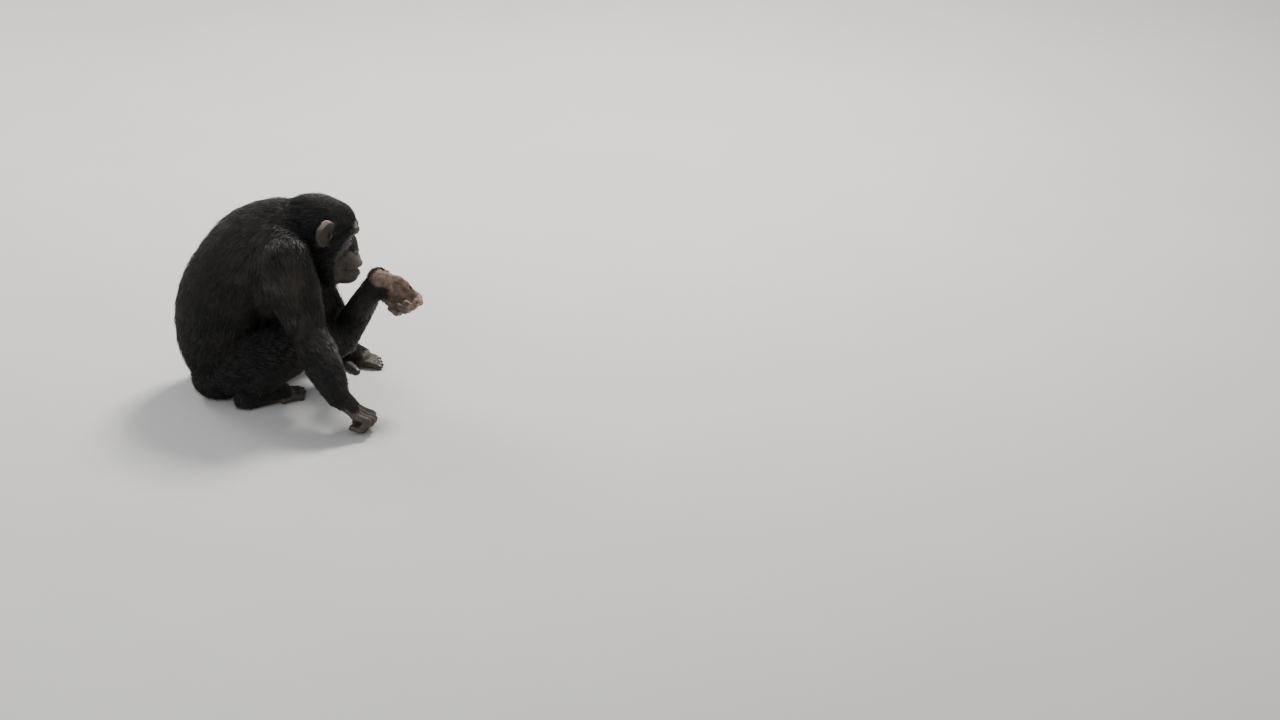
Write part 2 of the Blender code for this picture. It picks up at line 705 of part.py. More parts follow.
def spread(mesh, wanted, part, others):
    """Points spread evenly over the coat of a mesh, far from each other and clear of its neighbours."""
    chance = np.random.default_rng(LOCK_SEED)
    mesh.calc_loop_triangles()
    faces = np.array([[mesh.vertices[k].co for k in face.vertices] for face in mesh.loop_triangles])
    areas = np.linalg.norm(np.cross(faces[:, 1] - faces[:, 0], faces[:, 2] - faces[:, 0]), axis=1)
    points = []
    for k in chance.choice(len(faces), SPREAD_TRIES * wanted, p=areas / areas.sum()):
        share = chance.dirichlet((1, 1, 1))
        point = Vector(share @ faces[k])
        near = min(tree.find_nearest(point)[3] for tree in others)
        if near > ROOT_CLEAR and coated(part, point):
            points.append(point)
    chosen = [points.pop(0)]
    while points and len(chosen) < wanted:
        gaps = [min((point - other).length for other in chosen) for point in points]
        chosen.append(points.pop(int(np.argmax(gaps))))
    return chosen


def lock(skin, root, way, length, half):
    """A flat, tapered tongue of hair that leaves the skin at its root and follows it, or None at an edge."""
    shape = bmesh.new()
    rings = []
    point, normal = skin.find_nearest(root)[:2]
    done = 0
    for share, wide, height in LOCK_SECTIONS + ((1.0, 0.0, LOCK_TIP),):
        along = (way - normal * way.dot(normal)).normalized()
        point, normal = skin.find_nearest(point + along * length * (share - done))[:2]
        done = share
        if not wide:
            rings.append([shape.verts.new(point + normal * height)])
            continue
        across = along.cross(normal)
        ring = []
        for reach, lift in ((1, 0), (0, LOCK_THICK), (-1, 0), (0, -LOCK_THICK * 0.5)):
            spot, spot_normal = skin.find_nearest(point + across * half * wide * reach)[:2]
            if spot_normal.dot(normal) < 0.3:
                shape.free()
                return None
            ring.append(shape.verts.new(spot + spot_normal * (height + lift)))
        rings.append(ring)
    shape.faces.new(rings[0])
    for low, high in zip(rings, rings[1:]):
        for k in range(4):
            after = (k + 1) % 4
            shape.faces.new([low[k], low[after]] + ([high[after], high[k]] if len(high) > 1 else high))
    bmesh.ops.triangulate(shape, faces=shape.faces)
    bmesh.ops.recalc_face_normals(shape, faces=shape.faces)
    return shape


def clear_lock(skin, root, way, length, half, others):
    """The longest lock at this root that stays clear of the other parts, their locks and the floor."""
    for share in LOCK_SHARES:
        shape = lock(skin, root, way, length * share, half * (0.4 + 0.6 * share))
        if not shape:
            continue
        mesh = joined([shape])
        swollen = search_tree(grown(mesh, LOCK_CLEAR))
        crossing = any(swollen.overlap(tree) for tree in others)
        if not crossing and bounds(mesh)[0][2] > 4 * GAP:
            return mesh
    return None


def with_locks(meshes):
    """Each coated body part with its locks fused on by one union."""
    trees = {name: [search_tree(mesh)] for name, mesh in meshes.items()}
    copies = []
    for mesh in meshes.values():
        copy = bmesh.new()
        copy.from_mesh(mesh)
        copies.append(copy)
    skin = search_tree(joined(copies))
    for name, mesh in meshes.items():
        part = name.removesuffix("_left").removesuffix("_right")
        if part not in LOCKS:
            continue
        side = int(name.endswith("_left"))
        wanted, length, half = LOCKS[part]
        others = [tree for other, held in trees.items() if other != name for tree in held]
        held = new_collection("locks", False)
        for root in spread(mesh, wanted, part, others):
            made = clear_lock(skin, root, lie(part, side, root), length, half, others)
            if made:
                trees[name].append(search_tree(made))
                new_object("lock", made, held)
        thing = new_object("worked", mesh, bpy.data.collections["helpers"])
        union = thing.modifiers.new("union", "BOOLEAN")
        union.operation = "UNION"
        union.operand_type = "COLLECTION"
        union.collection = held
        union.solver = "MANIFOLD"
        meshes[name] = largest_surface(evaluated(thing))
        for other in list(held.objects):
            bpy.data.objects.remove(other, do_unlink=True)
        bpy.data.collections.remove(held)
    return meshes


def build():
    """Makes every part, in the order in which the later ones give way to the earlier ones."""
    clear_scene()
    new_collection("helpers", False)
    parts = new_collection("chimpanzee", True)
    finishes = {
        "coat": material("coat", COAT, 0.75),
        "face": material("face_skin", FACE, 0.55),
        "palm": material("hand_and_foot_skin", PALM, 0.6),
        "ear": material("ear_skin", EAR, 0.6),
        "eye": material("eye", IRIS, 0.12),
    }
    meshes = []
    for side, way in (("left", 1), ("right", -1)):
        meshes.append((f"eye_{side}", eye_mesh(way), "eye"))
    meshes.append(("head", head_mesh(), "face"))
    for side, way in (("left", 1), ("right", -1)):
        meshes.append((f"ear_{side}", ear_mesh(way), "ear"))
    for name, mesh in trunk_parts().items():
        meshes.append((name, mesh, "coat"))
    for make, bare in ((arm_parts, "hand"), (leg_parts, "foot")):
        for side in ("right", "left"):
            for name, mesh in make(("right", "left").index(side)).items():
                meshes.append((f"{name}_{side}", mesh, "palm" if name == bare else "coat"))
    made = with_locks(fitted([(name, mesh) for name, mesh, _ in meshes]))
    for name, _, finish in meshes:
        made[name].materials.clear()
        made[name].materials.append(finishes[finish])
        made[name].shade_smooth()
        new_object(name, made[name], parts)


build()
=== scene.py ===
"""A seated chimpanzee, life size, resting on the floor: the skin, the coat and the studio around it.

Metres, +Z up. X runs the way the animal faces and Y to its left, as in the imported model.
"""

import math

import bmesh
import bpy
import numpy as np
from mathutils import Euler, Matrix, Vector
from mathutils.bvhtree import BVHTree
from mathutils.kdtree import KDTree


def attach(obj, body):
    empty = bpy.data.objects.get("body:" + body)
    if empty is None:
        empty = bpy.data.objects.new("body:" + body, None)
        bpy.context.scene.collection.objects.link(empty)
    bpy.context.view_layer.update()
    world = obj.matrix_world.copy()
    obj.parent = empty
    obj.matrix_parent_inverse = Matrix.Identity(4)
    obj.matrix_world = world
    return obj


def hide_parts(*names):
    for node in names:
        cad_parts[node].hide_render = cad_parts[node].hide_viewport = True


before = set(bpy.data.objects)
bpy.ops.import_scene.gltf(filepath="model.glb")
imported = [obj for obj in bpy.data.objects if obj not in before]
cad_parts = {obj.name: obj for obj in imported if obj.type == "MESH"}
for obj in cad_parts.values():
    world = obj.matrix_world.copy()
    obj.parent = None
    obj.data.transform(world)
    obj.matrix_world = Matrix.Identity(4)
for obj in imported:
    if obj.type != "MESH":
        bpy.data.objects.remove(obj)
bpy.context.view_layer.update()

# Trunk and limbs under the coat
# The flesh that the hair grows from: back, belly, shoulders, buttocks, arms and legs, each modelled as a
# round form swept along its bones and then melted into its neighbours. It lies a coat's depth inside.

CORE_DEPTH = 0.0065
SEAT = ((-0.020, 0.0, 0.060), 0.112, 0.088)
LOIN = ((-0.040, 0.0, 0.150), 0.132, 0.108)
WAIST = ((-0.025, 0.0, 0.250), 0.136, 0.122)
RIBS = ((0.016, 0.0, 0.345), 0.146, 0.114)
BREAST = ((0.068, 0.0, 0.420), 0.140, 0.102)
COLLAR = ((0.130, 0.0, 0.466), 0.100, 0.080)
NECK = ((0.185, 0.0, 0.474), 0.076, 0.070)
NAPE = ((0.232, 0.0, 0.468), 0.064, 0.058)
SHOULDER = ((0.162, -0.128, 0.428), (0.132, 0.115, 0.375))
ELBOW = ((0.219, -0.165, 0.236), (0.291, 0.030, 0.121))
WRIST = ((0.306, -0.290, 0.104), (0.406, -0.045, 0.337))
HIP = ((0.020, -0.080, 0.095), (0.020, 0.085, 0.100))
KNEE = ((0.210, -0.125, 0.174), (0.195, 0.165, 0.240))
ANKLE = ((0.062, -0.132, 0.055), (0.250, 0.165, 0.058))
SHOULDER_PAD = (0.075, 0.070, 0.085)
BUTTOCK_PAD = (0.075, 0.062, 0.062)
BUTTOCK = (-0.035, 0.070, 0.058)
FLANK_PAD = (0.060, 0.078, 0.095)
SHOULDER_SHARE = 0.35
SHOULDER_TURN = (0, 20, 0)
FLANK_SHARE = 0.66
FLANK_FROM = 0.4
YOKE_SHARE = 0.34
YOKE_PAD = (0.070, 0.062, 0.052)
ARM_HALVES = (0.068, 0.066, 0.049)
FOREARM_SHARES = (0.35, 0.7)
FOREARM_HALVES = ((0.046, 0.053, 0.049), (0.046, 0.043, 0.038))
WRIST_HALVES = ((0.034, 0.029), (0.031, 0.026))
THIGH_HALVES = (0.082, 0.074, 0.052)
SHIN_SHARES = (0.35, 0.75)
SHIN_HALVES = (0.0494, 0.048, 0.042, 0.040)
PRESS = 0.004
BODY_VOXEL = 0.0072
SIDES = ("right", "left")


def between(a, b, share):
    """The point at this share of the way from a to b."""
    return Vector(a).lerp(Vector(b), share)


def sided(place, way):
    """The place on the left side for 1, and on the right side for -1."""
    return place[0], way * place[1], place[2]


def deselect_all():
    """Nothing selected, and no object in edit mode."""
    if bpy.context.object and bpy.context.object.mode != "OBJECT":
        bpy.ops.object.mode_set(mode="OBJECT")
    bpy.ops.object.select_all(action="DESELECT")


def lump(centre, halves, turn=(0, 0, 0), segments=24):
    """An egg-shaped form with these half sizes, turned by degrees about X, Y and Z."""
    deselect_all()
    bpy.ops.mesh.primitive_uv_sphere_add(segments=segments, ring_count=segments * 2 // 3, radius=1)
    made = bpy.context.object
    made.location = centre
    made.rotation_euler = [math.radians(angle) for angle in turn]
    made.scale = halves
    return made


def smooth_curve(rows, steps):
    """Rows on the Catmull-Rom curve through the given rows, `steps` to a span."""
    rows = np.array(rows, float)
    ends = np.vstack([2 * rows[0] - rows[1], rows, 2 * rows[-1] - rows[-2]])
    made = []
    for a, b, c, d in zip(ends, ends[1:], ends[2:], ends[3:]):
        for t in np.arange(steps) / steps:
            linear = (c - a) * t
            square = (2 * a - 5 * b + 4 * c - d) * t**2
            cube = (3 * b - a - 3 * c + d) * t**3
            made.append(b + 0.5 * (linear + square + cube))
    made.append(rows[-1])
    return np.array(made)


def sections(stations, across, steps):
    """Elliptical sections along a smooth curve, shrunk to domes at both ends.

    A station is (centre, half width along `across`, half depth).
    """
    rows = smooth_curve([(*centre, width, depth) for centre, width, depth in stations], steps)
    centres = [Vector(row[:3]) for row in rows]
    made = []
    for i, row in enumerate(rows):
        along = (centres[min(i + 1, len(rows) - 1)] - centres[max(i - 1, 0)]).normalized()
        side = Vector(across)
        side = (side - along * side.dot(along)).normalized()
        made.append((centres[i], side, along.cross(side), row[3], row[4]))
    domes = []
    for place, way in ((0, -1), (-1, 1)):
        centre, side, up, width, depth = made[place]
        along = side.cross(up) * way
        reach = min(width, depth)
        rings = []
        for angle in np.radians((22, 44, 64, 80)):
            shrink = math.cos(angle)
            rings.append((centre + along * reach * math.sin(angle), side, up, width * shrink, depth * shrink))
        domes.append(rings)
    return domes[0][::-1] + made + domes[1]


def swept(stations, across=(0, 1, 0), ring=20, steps=4):
    """One form through these stations: a disc extruded from each section to the next."""
    deselect_all()
    bpy.ops.mesh.primitive_circle_add(vertices=ring, radius=1, fill_type="NGON", enter_editmode=True)
    made = bpy.context.object
    for i, (centre, side, up, width, depth) in enumerate(sections(stations, across, steps)):
        if i:
            bpy.ops.mesh.extrude_region_move()
        shape = bmesh.from_edit_mesh(made.data)
        for vert in shape.verts:
            if not vert.select:
                continue
            a, b = vert.co.x, vert.co.y
            if i:
                reach = vert.co - before[0]
                a, b = reach.dot(before[1]) / before[3], reach.dot(before[2]) / before[4]
            vert.co = centre + side * a * width + up * b * depth
        bmesh.update_edit_mesh(made.data)
        before = (centre, side, up, width, depth)
    bpy.ops.mesh.select_all(action="SELECT")
    bpy.ops.mesh.normals_make_consistent(inside=False)
    bpy.ops.object.mode_set(mode="OBJECT")
    return made


def rod(points, half, across=(0, 0, 1), ring=12, steps=4):
    """A round form of one half width, or of one for each point, through these points."""
    halves = [half] * len(points) if isinstance(half, float) else half
    return swept([(point, h, h) for point, h in zip(points, halves)], across, ring, steps)


def joined(name, forms, move=None):
    """The forms as one object at the origin, moved by a matrix where one is given."""
    deselect_all()
    for form in forms:
        form.select_set(True)
    bpy.context.view_layer.objects.active = forms[0]
    if len(forms) > 1:
        bpy.ops.object.join()
    made = bpy.context.view_layer.objects.active
    bpy.ops.object.transform_apply(location=True, rotation=True, scale=True)
    if move:
        made.data.transform(move)
    made.name = name
    return made


def finished(thing, kind, **settings):
    """Adds a modifier of this kind with these settings and applies it."""
    deselect_all()
    thing.select_set(True)
    bpy.context.view_layer.objects.active = thing
    step = thing.modifiers.new(kind.lower(), kind)
    for key, value in settings.items():
        setattr(step, key, value)
    bpy.ops.object.modifier_apply(modifier=step.name)
    return thing


def melted(name, forms, voxel, passes, move=None):
    """The forms melted into one skin and smoothed."""
    made = joined(name, forms, move)
    finished(made, "REMESH", mode="VOXEL", voxel_size=voxel)
    return finished(made, "SMOOTH", factor=0.5, iterations=passes)


def cored(stations):
    """The stations drawn in by the depth of the coat over the flesh."""
    return [(centre, width - CORE_DEPTH, depth - CORE_DEPTH) for centre, width, depth in stations]


def limb(points, halves):
    """Stations of a round limb at these points, drawn in under the coat."""
    return cored([(point, half, half) for point, half in zip(points, halves)])


body_forms = [swept(cored([SEAT, LOIN, WAIST, RIBS, BREAST, COLLAR, NECK, NAPE]), ring=28)]
shoulder_halves = [half - CORE_DEPTH for half in SHOULDER_PAD]
buttock_halves = [half - CORE_DEPTH for half in BUTTOCK_PAD]
for way, shoulder, elbow in zip((-1, 1), SHOULDER, ELBOW):
    body_forms.append(lump(between(RIBS[0], between(shoulder, elbow, FLANK_FROM), FLANK_SHARE), FLANK_PAD))
    body_forms.append(lump(between(shoulder, BREAST[0], SHOULDER_SHARE), shoulder_halves, SHOULDER_TURN))
    body_forms.append(lump(sided(BUTTOCK, way), buttock_halves))
for side, (shoulder, elbow, wrist) in enumerate(zip(SHOULDER, ELBOW, WRIST)):
    points = (shoulder, between(shoulder, elbow, 0.5), elbow)
    body_forms.append(swept(limb(points, ARM_HALVES)))
    points = [elbow] + [between(elbow, wrist, share) for share in FOREARM_SHARES]
    body_forms.append(swept(limb(points, FOREARM_HALVES[side]) + [(wrist, *WRIST_HALVES[side])]))
    body_forms.append(lump(between(shoulder, COLLAR[0], YOKE_SHARE), YOKE_PAD))
for hip, knee, ankle in zip(HIP, KNEE, ANKLE):
    points = (hip, between(hip, knee, 0.5), knee)
    body_forms.append(swept(limb(points, THIGH_HALVES)))
    points = [knee] + [between(knee, ankle, share) for share in SHIN_SHARES] + [ankle]
    body_forms.append(swept(limb(points, SHIN_HALVES)))
body = melted("body", body_forms, BODY_VOXEL, 4)

# Hands
# Bare palms and fingers in grey-brown skin: the right hand rests on its knuckles, the left one is held out
# palm up with the fingers curled. Each finger is swept through its joints and melted into the palm.

PALM_LENGTH = 0.067
PALM_START = 0.010
PALM_MIDDLE = 0.45
PALM_END = 0.006
PALM_HALVES = ((0.028, 0.022), (0.037, 0.020), (0.040, 0.015))
SINEW_HALF = 0.0045
SINEW_ROW = 0.006
SINEW_HEIGHTS = (0.015, 0.0065)
FINGER_BONES = (0.050, 0.038, 0.024)
FINGER_LENGTH = (0.96, 1.05, 1.0, 0.86)
FINGER_STAGGER = (0.000, 0.000, 0.003, 0.008)
FINGER_HALF = 0.0104
FINGER_ROW = 0.0206
FINGER_MIDDLE = 1.5
THUMB_BONES = (0.032, 0.022, 0.015)
THUMB_HALF = 0.0094
THUMB_ROOT = (0.012, 0.024, -0.008)
THUMB_WAY = (0.75, 0.55, -0.35)
HAND_ALONG = ((0.70, 0.02, -0.71), (0.74, -0.02, -0.67))
HAND_BACK = ((0.71, 0.00, 0.70), (0.10, 0.95, -0.25))
HAND_BENDS = (
    ((-18, 108, 62), (-18, 108, 62), (-18, 108, 62), (-18, 108, 62)),
    ((0, 84, 44), (8, 94, 55), (12, 96, 55), (16, 96, 55)),
)
THUMB_BENDS = ((10, 25, 20), (5, 30, 20))
ROOT_SWELL = (1.1, 1.15)
BONE_WAIST = 0.90
KNUCKLE_SWELL = 1.04
TIP_SWELL = 0.96
DIGIT_TAPER = 0.95
NAIL_BACK = 0.30
nail_places = []


def bent(direction, towards, degrees):
    """The direction turned by some degrees towards another one at right angles to it."""
    turn = math.radians(degrees)
    return direction * math.cos(turn) + towards * math.sin(turn)


def digit(root, along, inward, across, bones, bends, half):
    """A finger or toe: bones in a row with a knuckle between them. It also notes where its nail goes."""
    point = Vector(root)
    stations = [(point, half * ROOT_SWELL[0], half * ROOT_SWELL[1])]
    for k, (bone, bend) in enumerate(zip(bones, bends)):
        along, inward = bent(along, inward, bend), bent(inward, -along, bend)
        stations.append((point + along * bone * 0.5, half * BONE_WAIST, half * BONE_WAIST))
        point = point + along * bone
        knuckle = KNUCKLE_SWELL if k < len(bones) - 1 else TIP_SWELL
        stations.append((point, half * knuckle, half * knuckle))
        half *= DIGIT_TAPER
    nail_places.append((point - along * half * NAIL_BACK, along, -inward, half))
    return swept(stations, across, 14, 3)


def hand_axes(side):
    """The ways along a hand, out of its back and towards its thumb."""
    along = Vector(HAND_ALONG[side]).normalized()
    out = Vector(HAND_BACK[side])
    out = (out - along * out.dot(along)).normalized()
    return along, out, out.cross(along) * (1, -1)[side]


def hand(side):
    """A hand's forms from its wrist out."""
    along, out, thumb_way = hand_axes(side)
    wrist = Vector(WRIST[side])
    knuckles = wrist + along * PALM_LENGTH
    palm = [
        (wrist - along * PALM_START, *PALM_HALVES[0]),
        (wrist + along * PALM_LENGTH * PALM_MIDDLE, *PALM_HALVES[1]),
        (knuckles - along * PALM_END, *PALM_HALVES[2]),
    ]
    forms = [swept(palm, thumb_way, 20, 3)]
    for k, bends in enumerate(HAND_BENDS[side]):
        root = knuckles + thumb_way * FINGER_ROW * (FINGER_MIDDLE - k) - along * FINGER_STAGGER[k]
        bones = [bone * FINGER_LENGTH[k] for bone in FINGER_BONES]
        forms.append(digit(root, along, -out, thumb_way, bones, bends, FINGER_HALF))
        start = wrist + out * SINEW_HEIGHTS[0] + thumb_way * SINEW_ROW * (FINGER_MIDDLE - k)
        forms.append(rod([start, root + out * SINEW_HEIGHTS[1]], SINEW_HALF, thumb_way, 8, 2))
    a, b, c = THUMB_ROOT
    root = wrist + along * a + thumb_way * b + out * c
    a, b, c = THUMB_WAY
    way = (along * a + thumb_way * b + out * c).normalized()
    inward = (along - way * along.dot(way)).normalized()
    forms.append(digit(root, way, inward, out, THUMB_BONES, THUMB_BENDS[side], THUMB_HALF))
    return forms


# Feet
# Flat, hairless soles with a big toe that stands apart like a thumb, in the same skin as the hands.

FOOT_LENGTH = 0.185
HEEL_REACH = 0.022
HEEL_HALF = 0.026
INSTEP_REACH = 0.045
INSTEP_HEIGHT = 0.030
INSTEP_HALVES = (0.031, 0.033)
BALL_SHARE = 0.52
BALL_HEIGHT = 0.019
BALL_HALVES = (0.034, 0.022)
TOE_HALF = 0.0100
TOE_SPREAD = 0.82
TOE_MIDDLE = 1.35
TOE_STEP = 0.006
TOE_RISE = 0.005
TOE_TAPER = 0.06
TOE_BONES = (0.030, 0.018, 0.013)
TOE_BENDS = (-4, 14, 14)
BIG_TOE_HALF = 0.0125
BIG_TOE_BONES = (0.034, 0.022, 0.014)
BIG_TOE_BENDS = (2, 6, 6)
BIG_TOE_SHARE = 0.24
BIG_TOE_ASIDE = 0.022
BIG_TOE_RISE = 0.004
BIG_TOE_WAY = (0.80, 0.60)
FOOT_HEADING = (28, -16)
END_VOXEL = 0.0022
ENDS_KEPT = 0.55


def foot_axes(side):
    """The ways along a foot and to its inside."""
    heading, way = math.radians(FOOT_HEADING[side]), (1, -1)[side]
    return (math.cos(heading), math.sin(heading), 0), (-math.sin(heading) * way, math.cos(heading) * way, 0)


def foot(side):
    """A foot's forms, flat on the floor under its ankle, with the big toe on the inside."""
    along, inside = (Vector(axis) for axis in foot_axes(side))
    up = Vector((0, 0, 1))
    under = Vector((*ANKLE[side][:2], 0))
    front = under + along * FOOT_LENGTH * BALL_SHARE
    sole = [
        (under - along * HEEL_REACH + up * (HEEL_HALF - PRESS), HEEL_HALF, HEEL_HALF),
        (under + along * INSTEP_REACH + up * INSTEP_HEIGHT, *INSTEP_HALVES),
        (front + up * BALL_HEIGHT, *BALL_HALVES),
    ]
    forms = [swept(sole, inside, 20, 3)]
    for k in range(4):
        root = front + inside * FINGER_ROW * TOE_SPREAD * (TOE_MIDDLE - k) - along * TOE_STEP * k
        root += up * (TOE_HALF - PRESS + TOE_RISE)
        bones = [bone * (1 - TOE_TAPER * abs(k - 1)) for bone in TOE_BONES]
        forms.append(digit(root, along, -up, inside, bones, TOE_BENDS, TOE_HALF))
    root = under + along * FOOT_LENGTH * BIG_TOE_SHARE + inside * BIG_TOE_ASIDE
    root += up * (BIG_TOE_HALF - PRESS + BIG_TOE_RISE)
    way = (along * BIG_TOE_WAY[0] + inside * BIG_TOE_WAY[1]).normalized()
    forms.append(digit(root, way, -up, way.cross(up), BIG_TOE_BONES, BIG_TOE_BENDS, BIG_TOE_HALF))
    return forms


ends = melted("ends", hand(0) + hand(1) + foot(0) + foot(1), END_VOXEL, 4)
finished(ends, "DECIMATE", ratio=ENDS_KEPT)

# Head
# A long flat skull, a heavy brow over deep-set eyes, a flat nose and a long muzzle with thin wide lips. It is
# modelled in its own frame: X forward, Z up, the origin between the ear holes.

HEAD_PLACE = (0.240, 0.0, 0.452)
HEAD_PITCH = math.radians(14)
HEAD_YAW = math.radians(8)
HEAD_SIZE = 1.12
EYE_PLACE = (0.0690, 0.0240, 0.0120)
EYE_RADIUS = 0.0115
LID = 0.0026
LID_PLACE = (EYE_PLACE[0] + EYE_RADIUS * 0.95, EYE_PLACE[1] + EYE_RADIUS * 0.25, EYE_PLACE[2])
LID_OPENING = (0.0085, 0.0100, 0.0052)
LID_TURN = 14
NOSTRIL = (0.0060, 0.0042, 0.0032)
NOSTRIL_FROM = (0.080, 0.0065, -0.0290)
NOSTRIL_TURN = (30, 25)
MOUTH_HEIGHT = -0.0700
MOUTH_REACH = 78
MOUTH_FROM = 0.060
MOUTH_RISE = 0.004
MOUTH_LINE = 0.0014
HEAD_VOXEL = 0.0016
HEAD_SOFTENING = 24
DETAIL_SOFTENING = 3
HEAD_KEPT = 0.5
head_turn = Euler((0, HEAD_PITCH, HEAD_YAW)).to_matrix().to_4x4()
head_frame = Matrix.Translation(HEAD_PLACE) @ head_turn @ Matrix.Scale(HEAD_SIZE, 4)


def both_sides(points):
    """The points, and the same points on the other side of the face."""
    return [points, [(x, -y, z) for x, y, z in points]]


def cut(thing, tools, operation="DIFFERENCE"):
    """Cuts the tools from the thing, or unites them with it, and removes them."""
    for tool in tools:
        finished(thing, "BOOLEAN", operation=operation, solver="MANIFOLD", object=tool)
        bpy.data.objects.remove(tool, do_unlink=True)
    return thing


def search_tree(thing):
    """A search tree of the object's faces."""
    shape = bmesh.new()
    shape.from_mesh(thing.data)
    tree = BVHTree.FromBMesh(shape)
    shape.free()
    return tree


HEAD_MASSES = {
    "skull": ((-0.004, 0, 0.034), (0.085, 0.063, 0.058), 0, 40),
    "forehead": ((0.030, 0, 0.042), (0.054, 0.054, 0.044), 0, 40),
    "face": ((0.041, 0, 0.006), (0.048, 0.055, 0.050), 0, 40),
    "muzzle": ((0.080, 0, -0.046), (0.041, 0.038, 0.028), 18, 40),
    "chin": ((0.080, 0, -0.086), (0.042, 0.035, 0.028), 8, 40),
    "throat": ((0.050, 0, -0.092), (0.042, 0.040, 0.034), 0, 24),
    "jaw": ((0.022, 0, -0.050), (0.060, 0.052, 0.040), 18, 24),
}
CHEEK_MASSES = (
    ((0.026, 0.038, -0.020), (0.042, 0.018, 0.040)),
    ((0.050, 0.024, -0.068), (0.036, 0.019, 0.028)),
)
CHEEKBONE = [(0.074, 0.020, -0.012), (0.066, 0.040, -0.010), (0.044, 0.052, -0.004), (0.018, 0.060, 0.000)]
CHEEKBONE_HALF = 0.0065
SOCKET = (0.094, 0.027, 0.012)
SOCKET_HALVES = (0.0205, 0.0205, 0.0128)
SOCKET_TURN = 18
BROW_LINE = [(0.084, 0, 0.031), (0.083, 0.025, 0.036), (0.060, 0.047, 0.026), (0.048, 0.055, 0.006)]
BROW_HALVES = [0.0055, 0.0085, 0.0118, 0.0095, 0.0118, 0.0085, 0.0055]
NOSE = (
    ((0.070, 0, 0.020), 0.010, 0.012),
    ((0.089, 0, -0.006), 0.010, 0.012),
    ((0.098, 0, -0.024), 0.014, 0.010),
)
NOSE_TIP = ((0.102, 0, -0.0255), (0.0080, 0.0075, 0.0080))
NOSE_WING = (0.0985, 0.0112, -0.0285)
NOSE_WING_HALVES = (0.0090, 0.0082, 0.0072)
UPPER_LIP = [(0.117, 0, -0.056), (0.107, 0.017, -0.058), (0.088, 0.031, -0.062)]
UPPER_LIP_HALVES = [0.0060, 0.0080, 0.0085, 0.0080, 0.0060]
LOWER_LIP = [(0.117, 0, -0.082), (0.107, 0.015, -0.081), (0.090, 0.029, -0.080)]
LOWER_LIP_HALVES = [0.0060, 0.0078, 0.0085, 0.0078, 0.0060]
CREASES = (
    ([(0.076, 0.010, 0.000), (0.0795, 0.024, -0.0030), (0.072, 0.039, 0.003)], 0.0034),
    ([(0.076, 0.010, 0.021), (0.0800, 0.024, 0.0245), (0.071, 0.040, 0.019)], 0.0030),
    ([(0.097, 0.018, -0.024), (0.092, 0.031, -0.038), (0.085, 0.0355, -0.052)], 0.0030),
)


def across_face(line):
    """A line that runs from the middle of the face to one side, carried on to the other side."""
    return [(x, -y, z) for x, y, z in line[:0:-1]] + line


head_forms = []
for centre, halves, pitch, segments in HEAD_MASSES.values():
    head_forms.append(lump(centre, halves, (0, pitch, 0), segments))
for way in (-1, 1):
    for centre, halves in CHEEK_MASSES:
        head_forms.append(lump(sided(centre, way), halves))
for points in both_sides(CHEEKBONE):
    head_forms.append(rod(points, CHEEKBONE_HALF))
head = melted("head_base", head_forms, HEAD_VOXEL, HEAD_SOFTENING, head_frame)
for way in (-1, 1):
    hollow = lump(sided(SOCKET, way), SOCKET_HALVES, (0, 0, way * SOCKET_TURN))
    cut(head, [joined("socket", [hollow], head_frame)])

# Over this lie the brow, the nose and its wings, the lids, the pouches under the eyes and the lips
details = [
    rod(across_face(BROW_LINE), BROW_HALVES),
    swept(NOSE),
    lump(*NOSE_TIP),
    rod(across_face(UPPER_LIP), UPPER_LIP_HALVES),
    rod(across_face(LOWER_LIP), LOWER_LIP_HALVES),
]
for way in (-1, 1):
    details.append(lump(sided(NOSE_WING, way), NOSE_WING_HALVES))
    details.append(lump(sided(EYE_PLACE, way), (EYE_RADIUS + LID,) * 3))
for crease, half in CREASES:
    for points in both_sides(crease):
        details.append(rod(points, half))
head = joined("head_form", [head, joined("details", details, head_frame)])
finished(head, "REMESH", mode="VOXEL", voxel_size=HEAD_VOXEL)
finished(head, "SMOOTH", factor=0.5, iterations=DETAIL_SOFTENING)
finished(head, "DECIMATE", ratio=HEAD_KEPT)

head_tree = search_tree(head)
head_to_world = head_frame.to_3x3()
openings = []
for way in (-1, 1):
    opening = lump(sided(LID_PLACE, way), LID_OPENING, (0, 0, way * LID_TURN))
    openings.append(joined("opening", [opening], head_frame))
    start = head_frame @ Vector(sided(NOSTRIL_FROM, way))
    nostril = head_tree.ray_cast(start, head_to_world @ Vector((1, way * 0.10, 0)))[0]
    place = Matrix.Translation(nostril) @ head_to_world.to_4x4()
    pitch, yaw = NOSTRIL_TURN
    openings.append(joined("nostril", [lump((0, 0, 0), NOSTRIL, (0, pitch, way * yaw))], place))
mouth = []
for turn in np.radians(np.linspace(-MOUTH_REACH, MOUTH_REACH, 15)):
    rise = MOUTH_RISE * (1 - math.cos(turn))
    start = head_frame @ Vector((MOUTH_FROM, 0, MOUTH_HEIGHT + rise))
    mouth.append(head_tree.ray_cast(start, head_to_world @ Vector((math.cos(turn), math.sin(turn), 0)))[0])
openings.append(rod(mouth, MOUTH_LINE, ring=8, steps=3))
cut(head, openings)

# Ears
# Large, thin and hairless, with a rolled rim, an inner ridge and a deep cup. They stand off the head and face
# a little forward.

